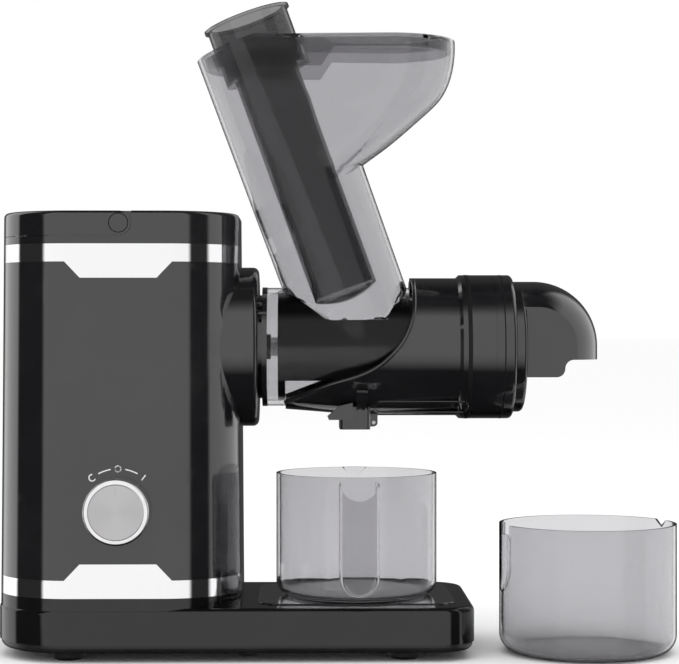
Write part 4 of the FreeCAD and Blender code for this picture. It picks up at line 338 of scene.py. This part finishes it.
materials = {
    "glossBlack": polishedPlastic("glossBlack", (0.008, 0.008, 0.009), (0.016, 0.016, 0.017), gloss),
    "baseBlack": polishedPlastic("baseBlack", (0.004, 0.004, 0.004), (0.01, 0.01, 0.01), baseGloss),
    "trayBlack": polishedPlastic("trayBlack", (0.007, 0.007, 0.008), (0.018, 0.018, 0.018), trayGloss),
    "drumBlack": polishedPlastic("drumBlack", (0.008, 0.008, 0.009), (0.014, 0.014, 0.015), drumGloss),
    "satinBlack": mouldedPlastic("satinBlack", (0.012, 0.012, 0.013), (0.022, 0.022, 0.023), satin),
    "guideBlack": mouldedPlastic("guideBlack", (0.01, 0.01, 0.011), (0.018, 0.018, 0.018), satin),
    "augerBlack": mouldedPlastic("augerBlack", (0.013, 0.013, 0.014), (0.024, 0.023, 0.022), matt),
    "softRubber": mouldedPlastic("softRubber", (0.006, 0.006, 0.006), (0.012, 0.012, 0.012), soft),
    "gearPlastic": mouldedPlastic("gearPlastic", (0.72, 0.69, 0.62), (0.5, 0.44, 0.34), satin),
    "gearboxPlastic": mouldedPlastic("gearboxPlastic", (0.06, 0.06, 0.063), (0.1, 0.1, 0.1), matt),
    "boardGreen": mouldedPlastic("boardGreen", (0.02, 0.11, 0.05), (0.05, 0.17, 0.09), satin),
    "brightTrim": metal("brightTrim", (0.95, 0.95, 0.96), (0.94, 0.94, 0.95), plated),
    "satinAlloy": metal("satinAlloy", (0.93, 0.93, 0.94), (0.84, 0.84, 0.85), alloy),
    "printWhite": mouldedPlastic("printWhite", (0.82, 0.82, 0.82), (0.7, 0.7, 0.7), satin),
    "jointBlack": mouldedPlastic("jointBlack", (0.0015, 0.0015, 0.0016), (0.003, 0.003, 0.003), soft),
    "platedSteel": metal("platedSteel", (0.6, 0.6, 0.61), (0.42, 0.42, 0.43), turned),
    "motorSteel": metal("motorSteel", (0.34, 0.34, 0.36), (0.16, 0.15, 0.15), laminated),
    "sieveSteel": metal("sieveSteel", (0.66, 0.66, 0.67), (0.45, 0.45, 0.46), turned),
    "bushBronze": metal("bushBronze", (0.6, 0.42, 0.2), (0.36, 0.24, 0.11), turned),
    "knobFace": spunMetal("knobFace", middle("knob_face"), face),
    # for the clear pieces the pair gives the facing range over which the painted edge shade comes in
    "clearBody": clearPlastic("clearBody", (0.66, 0.655, 0.67), (0.72, 0.86), clear),
    "clearBin": clearPlastic("clearBin", (0.66, 0.655, 0.67), (0.76, 0.88), clear),
    "smokeLid": clearPlastic("smokeLid", (0.6, 0.595, 0.605), (0.7, 0.86), clear),
    "smokePusher": clearPlastic("smokePusher", (0.26, 0.258, 0.263), (0.45, 0.7), clear),
}
print("materials made:", len(materials))


# The nodes' own shapes, smoothed, each with its finish

finishes = {
    "baseBlack": "base_shell",
    "glossBlack": "top_cap tower_shell rear_cover carry_handle hub_collar",
    "trayBlack": "tray_pad",
    "satinBlack": "bottom_cover rotary_switch",
    "satinAlloy": "knob_skirt",
    "brightTrim": "lower_band upper_band",
    "knobFace": "knob_face",
    "softRubber": "foot_front_left foot_front_right foot_rear_left foot_rear_right stud_feet shaft_seal "
                  "cord_gland",
    "platedSteel": "base_screws cover_screws output_shaft idler_axle auger_shaft motor_shaft bearing_rear "
                   "bearing_front drip_cap_pin knob_shaft",
    "motorSteel": "motor_frame stator rotor",
    "gearPlastic": "output_gear idler_gear pinion_gear cooling_fan",
    "gearboxPlastic": "gearbox_housing gearbox_cover",
    "boardGreen": "circuit_board",
    "drumBlack": "drum_flange drum_body end_cap ring_nut drip_cap handle_pin_front handle_pin_rear",
    "guideBlack": "feed_guide strainer_frame",
    "augerBlack": "auger",
    "sieveSteel": "strainer_mesh",
    "bushBronze": "end_bush",
    "clearBody": "chute_hopper juice_jug",
    "clearBin": "pulp_container",
    "smokeLid": "hopper_lid",
    "smokePusher": "pusher",
}
smoothing = {"mergeDistance": 0.000002, "sharpAngle": 28.0}


def smoothNode(node, material):
    # a merged copy of the node, so that its round faces shade as round
    source = frame["nodes"][node]
    skin = source.copy()
    skin.data = source.data.copy()
    skin.parent = None
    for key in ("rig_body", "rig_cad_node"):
        if key in skin:
            del skin[key]
    bpy.context.scene.collection.objects.link(skin)
    pick(skin)
    bpy.ops.mesh.customdata_custom_splitnormals_clear()
    bpy.ops.object.mode_set(mode="EDIT")
    bpy.ops.mesh.select_all(action="SELECT")
    bpy.ops.mesh.remove_doubles(threshold=smoothing["mergeDistance"])
    bpy.ops.object.mode_set(mode="OBJECT")
    bpy.ops.object.shade_smooth_by_angle(angle=math.radians(smoothing["sharpAngle"]))
    fitOut(skin, node + ".skin", bodyOf[node], material)
    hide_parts(node)
    return skin


skins = {}
for finish, nodeNames in finishes.items():
    for node in nodeNames.split():
        skins[node] = smoothNode(node, materials[finish])
print("nodes smoothed:", len(skins))


# Pieces swept from a small section: extruded straight and spun round

def startSection(place, size):
    # size is the section's width, depth and height, one of which is 0
    deselectAll()
    bpy.ops.mesh.primitive_plane_add(size=1, location=(0, 0, 0))
    piece = bpy.context.object
    wide, deep, high = size
    if wide == 0:
        piece.rotation_euler = (math.radians(90), 0, math.radians(90))
        piece.scale = (deep, high, 1)
    elif deep == 0:
        piece.rotation_euler = (math.radians(90), 0, 0)
        piece.scale = (wide, high, 1)
    else:
        piece.scale = (wide, deep, 1)
    piece.location = place
    takePlace(piece)
    bpy.ops.object.mode_set(mode="EDIT")
    bpy.ops.mesh.select_all(action="SELECT")
    return piece


def runStraight(way):
    bpy.ops.mesh.extrude_region_move(TRANSFORM_OT_translate={"value": way})


def runRound(centre, axis, degrees, steps):
    bpy.ops.mesh.spin(steps=steps, angle=math.radians(degrees), center=centre, axis=axis)


sectionEnd = {"mergeDistance": 0.00001, "segments": 2, "sharpAngle": 40}


def endSection(piece, bevel):
    bpy.ops.mesh.select_all(action="SELECT")
    bpy.ops.mesh.remove_doubles(threshold=sectionEnd["mergeDistance"])
    bpy.ops.mesh.normals_make_consistent(inside=False)
    bpy.ops.object.mode_set(mode="OBJECT")
    rounding = piece.modifiers.new("rounding", "BEVEL")
    rounding.width = bevel
    rounding.segments = sectionEnd["segments"]
    pick(piece)
    bpy.ops.object.modifier_apply(modifier=rounding.name)
    bpy.ops.object.shade_smooth_by_angle(angle=math.radians(sectionEnd["sharpAngle"]))
    return piece


knobMiddle = middle("knob_face")
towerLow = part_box("tower_shell")[0]
drumMiddle = middle("ring_nut")
# the arcs and turns are in degrees from straight above the knob; the turn places the bar and the open ring
dial = {"radius": 0.0268, "line": 0.0008, "edge": 0.00006, "proud": 0.00012, "sunk": 0.0003, "lean": 0.0076,
        "arcs": ((10, 28), (-28, -10)), "arcSteps": 14, "ring": 0.0019, "ringSteps": 24, "bar": 0.0042,
        "turn": 38, "openRing": 0.0021, "openSweep": 250, "openSteps": 18}


def dialDepth(z):
    # the middle of a mark's thickness, on the tower's leaning front
    face = towerLow.y + dial["lean"] * (z - towerLow.z)
    return face + (dial["sunk"] - dial["proud"]) / 2


def dialPoint(degrees, radius):
    angle = math.radians(degrees)
    z = knobMiddle.z + radius * math.cos(angle)
    return Vector((knobMiddle.x + radius * math.sin(angle), dialDepth(z), z))


def makeRing(centre, top, sweep, steps):
    # a small ring, whole or open, that starts at its top
    ring = startSection(top, (0, dial["sunk"] + dial["proud"], dial["line"]))
    runRound(centre, (0, 1, 0), sweep, steps)
    return endSection(ring, dial["edge"])


def makeArc(first, last):
    arc = startSection(dialPoint(0, dial["radius"]), (0, dial["sunk"] + dial["proud"], dial["line"]))
    bpy.ops.transform.rotate(value=math.radians(first), orient_axis="Y", center_override=knobMiddle)
    runRound(knobMiddle, (0, 1, 0), last - first, dial["arcSteps"])
    return endSection(arc, dial["edge"])


def makeBar():
    foot = dialPoint(dial["turn"], dial["radius"] - dial["bar"] / 2)
    bar = startSection(foot, (dial["line"], dial["sunk"] + dial["proud"], 0))
    runStraight((0, 0, dial["bar"]))
    bpy.ops.mesh.select_all(action="SELECT")
    bpy.ops.transform.rotate(value=-math.radians(dial["turn"]), orient_axis="Y", center_override=foot)
    return endSection(bar, dial["edge"])


def makeDial():
    marks = [makeArc(first, last) for first, last in dial["arcs"]]
    ringTop = dialPoint(0, dial["radius"] + dial["ring"])
    marks.append(makeRing(dialPoint(0, dial["radius"]), ringTop, 360, dial["ringSteps"]))
    marks.append(makeBar())
    openCentre = dialPoint(-dial["turn"], dial["radius"])
    openTop = openCentre + Vector((0, 0, dial["openRing"]))
    marks.append(makeRing(openCentre, openTop, dial["openSweep"], dial["openSteps"]))
    deselectAll()
    for mark in marks:
        mark.select_set(True)
    bpy.context.view_layer.objects.active = marks[0]
    bpy.ops.object.join()
    return fitOut(bpy.context.object, "dialMarks", "root", materials["printWhite"])


makeDial()

# dark joints turned round the drum; along is measured from the ring nut's middle
hoops = {
    "collarJoint": {"along": -0.0244, "width": 0.0028, "body": "drum"},
    "nutJoint": {"along": -0.0014, "width": 0.0008, "body": "ring_nut"},
}
hoopShape = {"radius": 0.0487, "thick": 0.0003, "edge": 0.00008, "steps": 96}


def makeHoop(name, hoop):
    centre = Vector((drumMiddle.x + hoop["along"], drumMiddle.y, drumMiddle.z))
    top = centre + Vector((0, 0, hoopShape["radius"]))
    piece = startSection(top, (hoop["width"], 0, hoopShape["thick"]))
    runRound(centre, (1, 0, 0), 360, hoopShape["steps"])
    endSection(piece, hoopShape["edge"])
    return fitOut(piece, name, hoop["body"], materials["jointBlack"])


for hoopName, hoop in hoops.items():
    makeHoop(hoopName, hoop)


# the drum body's swept seam: x and z from the ring nut's middle, and the body's radius there
seam = {"points": [(-0.1466, -0.0372, 0.0423), (-0.1240, -0.0268, 0.0442), (-0.1080, -0.0227, 0.0456),
                   (-0.0880, -0.0162, 0.0468), (-0.0763, -0.0056, 0.0468), (-0.0682, 0.0036, 0.0468),
                   (-0.0636, 0.0141, 0.0468), (-0.0606, 0.0245, 0.0468), (-0.0604, 0.0365, 0.0468),
                   (-0.0606, 0.0440, 0.0468)],
        "round": 0.0015, "order": 4, "smoothness": 12, "roundSteps": 3}


def makeSeamLip(name, side):
    # side is -1 at the front and 1 at the rear
    deselectAll()
    bpy.ops.curve.primitive_nurbs_path_add(location=(0, 0, 0))
    path = bpy.context.object
    spline = path.data.splines[0]
    spline.points.add(len(seam["points"]) - len(spline.points))
    for point, (x, z, radius) in zip(spline.points, seam["points"]):
        y = side * math.sqrt(max(radius ** 2 - z ** 2, 0.0))
        point.co = (drumMiddle.x + x, drumMiddle.y + y, drumMiddle.z + z, 1.0)
    spline.order_u = seam["order"]
    spline.use_endpoint_u = True
    path.data.resolution_u = seam["smoothness"]
    path.data.bevel_depth = seam["round"]
    path.data.bevel_resolution = seam["roundSteps"]
    path.data.use_fill_caps = True
    bpy.ops.object.convert(target="MESH")
    piece = bpy.context.object
    takePlace(piece)
    bpy.ops.object.shade_smooth()
    return fitOut(piece, name, "drum", materials["drumBlack"])


makeSeamLip("seamLipFront", -1)
makeSeamLip("seamLipRear", 1)

channel = {"from": -0.083, "to": -0.0285, "height": -0.0402, "half": 0.0044, "line": 0.0011,
           "thick": 0.0014, "away": 0.08, "corners": 32, "edge": 0.0004, "edgeSteps": 3, "sharpAngle": 50,
           "hair": 0.00001}


def makeChannel():
    # a raised loop along the low front of the drum body, laid on its round surface
    deselectAll()
    place = (drumMiddle.x + channel["from"], drumMiddle.y - channel["away"], drumMiddle.z + channel["height"])
    bpy.ops.mesh.primitive_circle_add(vertices=channel["corners"], radius=channel["half"], fill_type="NGON",
                                      location=place, rotation=(math.radians(90), 0, 0))
    piece = bpy.context.object
    takePlace(piece)
    bpy.ops.object.mode_set(mode="EDIT")
    bpy.ops.mesh.inset(thickness=channel["line"], depth=0)
    bpy.ops.mesh.delete(type="FACE")
    bpy.ops.mesh.select_all(action="DESELECT")
    bpy.ops.object.mode_set(mode="OBJECT")
    for vertex in piece.data.vertices:
        vertex.select = vertex.co.x > place[0] + channel["hair"]
    bpy.ops.object.mode_set(mode="EDIT")
    bpy.ops.transform.translate(value=(channel["to"] - channel["from"], 0, 0))
    bpy.ops.object.mode_set(mode="OBJECT")
    laid = piece.modifiers.new("laid", "SHRINKWRAP")
    laid.target = skins["drum_body"]
    laid.wrap_method = "PROJECT"
    laid.use_project_y = True
    laid.use_positive_direction = True
    wall = piece.modifiers.new("wall", "SOLIDIFY")
    wall.thickness = channel["thick"]
    wall.offset = 0.0
    rounding = piece.modifiers.new("rounding", "BEVEL")
    rounding.width = channel["edge"]
    rounding.segments = channel["edgeSteps"]
    pick(piece)
    for name in ("laid", "wall", "rounding"):
        bpy.ops.object.modifier_apply(modifier=name)
    bpy.ops.object.shade_smooth_by_angle(angle=math.radians(channel["sharpAngle"]))
    return fitOut(piece, "drumChannel", "drum", materials["drumBlack"])


makeChannel()

handleBead = {"below": 0.0001, "proud": 0.0003, "corner": 0.0482, "line": 0.0009, "fromPin": 0.0081,
              "edge": 0.0003, "cornerSteps": 16, "pinSteps": 10}


def makeHandleBead():
    # the lip under the folded handle: left side, corner, front and round the pivot
    low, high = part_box("carry_handle")
    pin = middle("handle_pin_front")
    z = low.z - handleBead["below"]
    left = low.x - handleBead["proud"] + handleBead["line"] / 2
    front = low.y - handleBead["proud"] + handleBead["line"] / 2
    corner = handleBead["corner"]
    piece = startSection((left, pin.y + 2 * corner, z), (handleBead["line"], 0, handleBead["line"]))
    runStraight((0, front - corner - pin.y, 0))
    runRound((left + corner, front + corner, z), (0, 0, 1), 90, handleBead["cornerSteps"])
    runStraight((pin.x - left - corner, 0, 0))
    runRound((pin.x, front, z + handleBead["fromPin"]), (0, 1, 0), -90, handleBead["pinSteps"])
    runStraight((0, 0, high.z - pin.z - handleBead["fromPin"] / 2))
    endSection(piece, handleBead["edge"])
    return fitOut(piece, "handleBead", "root", materials["drumBlack"])


makeHandleBead()
print("new pieces made")


# Floor, light and camera

paleFloor = {"size": 120, "colour": (1.0, 1.0, 1.0, 1.0), "roughness": 0.9}


def makeFloor():
    bpy.ops.mesh.primitive_plane_add(size=paleFloor["size"], location=(0, 0, 0))
    floor = bpy.context.object
    floor.name = "floor"
    material = bpy.data.materials.new("paleFloor")
    material.use_nodes = True
    shader = material.node_tree.nodes["Principled BSDF"]
    shader.inputs["Base Color"].default_value = paleFloor["colour"]
    shader.inputs["Roughness"].default_value = paleFloor["roughness"]
    shader.inputs["Specular IOR Level"].default_value = 0.0
    giveMaterial(floor, material)
    floor.visible_glossy = False


studio = {
    "backdrop": 1.0,           # what the camera sees past the floor
    "fill": 0.97,              # what lights dull surfaces
    # reflections: (degrees round from the front, brightness); the right is positive
    "around": [(-180, 0.05), (-150, 0.08), (-140, 1.1), (-100, 1.2), (-95, 0.02), (-50, 0.02), (-45, 1.0),
               (36, 0.95), (41, 0.02), (68, 0.02), (74, 1.0), (140, 1.0), (150, 0.08), (180, 0.05)],
    # the same up and down: (degrees above the horizon, share)
    "upright": [(-90, 0.0), (-40, 0.0), (-24, 0.75), (-12, 1.0), (50, 1.0), (64, 0.25), (72, 0.03),
                (90, 0.03)],
    # light through clear pieces: (degrees away from straight back, brightness)
    "through": [(0, 0.95), (50, 0.95), (75, 0.25), (100, 0.03), (180, 0.03)],
}


def rampOf(tree, value, low, high, stops):
    # a value ramp whose stops are given in the value's own units
    ramp = tree.nodes.new("ShaderNodeValToRGB")
    elements = ramp.color_ramp.elements
    while len(elements) < len(stops):
        elements.new(0.5)
    for element, (place, level) in zip(elements, stops):
        element.position = (place - low) / (high - low)
    for element, (place, level) in zip(elements, stops):
        element.color = (level, level, level, 1.0)
    tree.links.new(remap(tree, value, low, high, 0.0, 1.0), ramp.inputs["Fac"])
    return ramp.outputs["Color"]


def makeStudio():
    world = bpy.data.worlds.new("studio")
    bpy.context.scene.world = world
    world.use_nodes = True
    tree = world.node_tree
    background = tree.nodes["Background"]
    background.inputs["Color"].default_value = (1.0, 1.0, 1.0, 1.0)
    where = tree.nodes.new("ShaderNodeTexCoord").outputs["Generated"]
    parts = addNode(tree, "ShaderNodeSeparateXYZ", {0: where})
    x, y, z = (parts.outputs[axis] for axis in "XYZ")
    round_ = mathNode(tree, "ARCTAN2", x, mathNode(tree, "MULTIPLY", y, -1.0))
    roundDegrees = mathNode(tree, "MULTIPLY", round_, 180 / math.pi)
    upDegrees = mathNode(tree, "MULTIPLY", mathNode(tree, "ARCSINE", z), 180 / math.pi)
    awayDegrees = mathNode(tree, "MULTIPLY", mathNode(tree, "ARCCOSINE", y), 180 / math.pi)
    around = rampOf(tree, roundDegrees, -180, 180, studio["around"])
    upright = rampOf(tree, upDegrees, -90, 90, studio["upright"])
    through = rampOf(tree, awayDegrees, 0, 180, studio["through"])
    reflected = mathNode(tree, "MULTIPLY", around, upright)
    rays = tree.nodes.new("ShaderNodeLightPath")
    plain = addNode(tree, "ShaderNodeMix", {"Factor": rays.outputs["Is Camera Ray"], "A": studio["fill"],
                                            "B": studio["backdrop"]}, data_type="FLOAT")
    withGloss = addNode(tree, "ShaderNodeMix", {"Factor": rays.outputs["Is Glossy Ray"],
                                                "A": plain.outputs["Result"], "B": reflected},
                        data_type="FLOAT")
    withGlass = addNode(tree, "ShaderNodeMix", {"Factor": rays.outputs["Is Transmission Ray"],
                                                "A": withGloss.outputs["Result"], "B": through},
                        data_type="FLOAT")
    tree.links.new(withGlass.outputs["Result"], background.inputs["Strength"])


softLight = {"place": (0.1, -0.5, 1.6), "size": 1.6, "power": 9.0}


def makeSoftLight():
    bpy.ops.object.light_add(type="AREA", location=softLight["place"])
    light = bpy.context.object
    light.name = "softLight"
    light.data.energy = softLight["power"]
    light.data.size = softLight["size"]
    light.visible_glossy = False
    light.visible_transmission = False
    light.visible_camera = False
    aim = middle("drum_body") - light.location
    light.rotation_euler = aim.to_track_quat("-Z", "Y").to_euler()


viewpoint = {"place": (-0.02435, -1.3528, 0.2135), "turn": 1.07, "lens": 106.04, "reach": 200}


def makeCamera():
    camera = bpy.data.objects.new("camera", bpy.data.cameras.new("camera"))
    bpy.context.scene.collection.objects.link(camera)
    camera.location = viewpoint["place"]
    camera.rotation_euler = (math.radians(90), 0, -math.radians(viewpoint["turn"]))
    camera.data.lens = viewpoint["lens"]
    camera.data.clip_end = viewpoint["reach"]
    bpy.context.scene.camera = camera


makeFloor()
makeStudio()
makeSoftLight()
makeCamera()
scene = bpy.context.scene
scene.view_settings.view_transform = "Standard"
lightPaths = {"max_bounces": 32, "transmission_bounces": 28, "glossy_bounces": 6,
              "sample_clamp_indirect": 6.0}
for setting, value in lightPaths.items():
    setattr(scene.cycles, setting, value)
print("studio set")
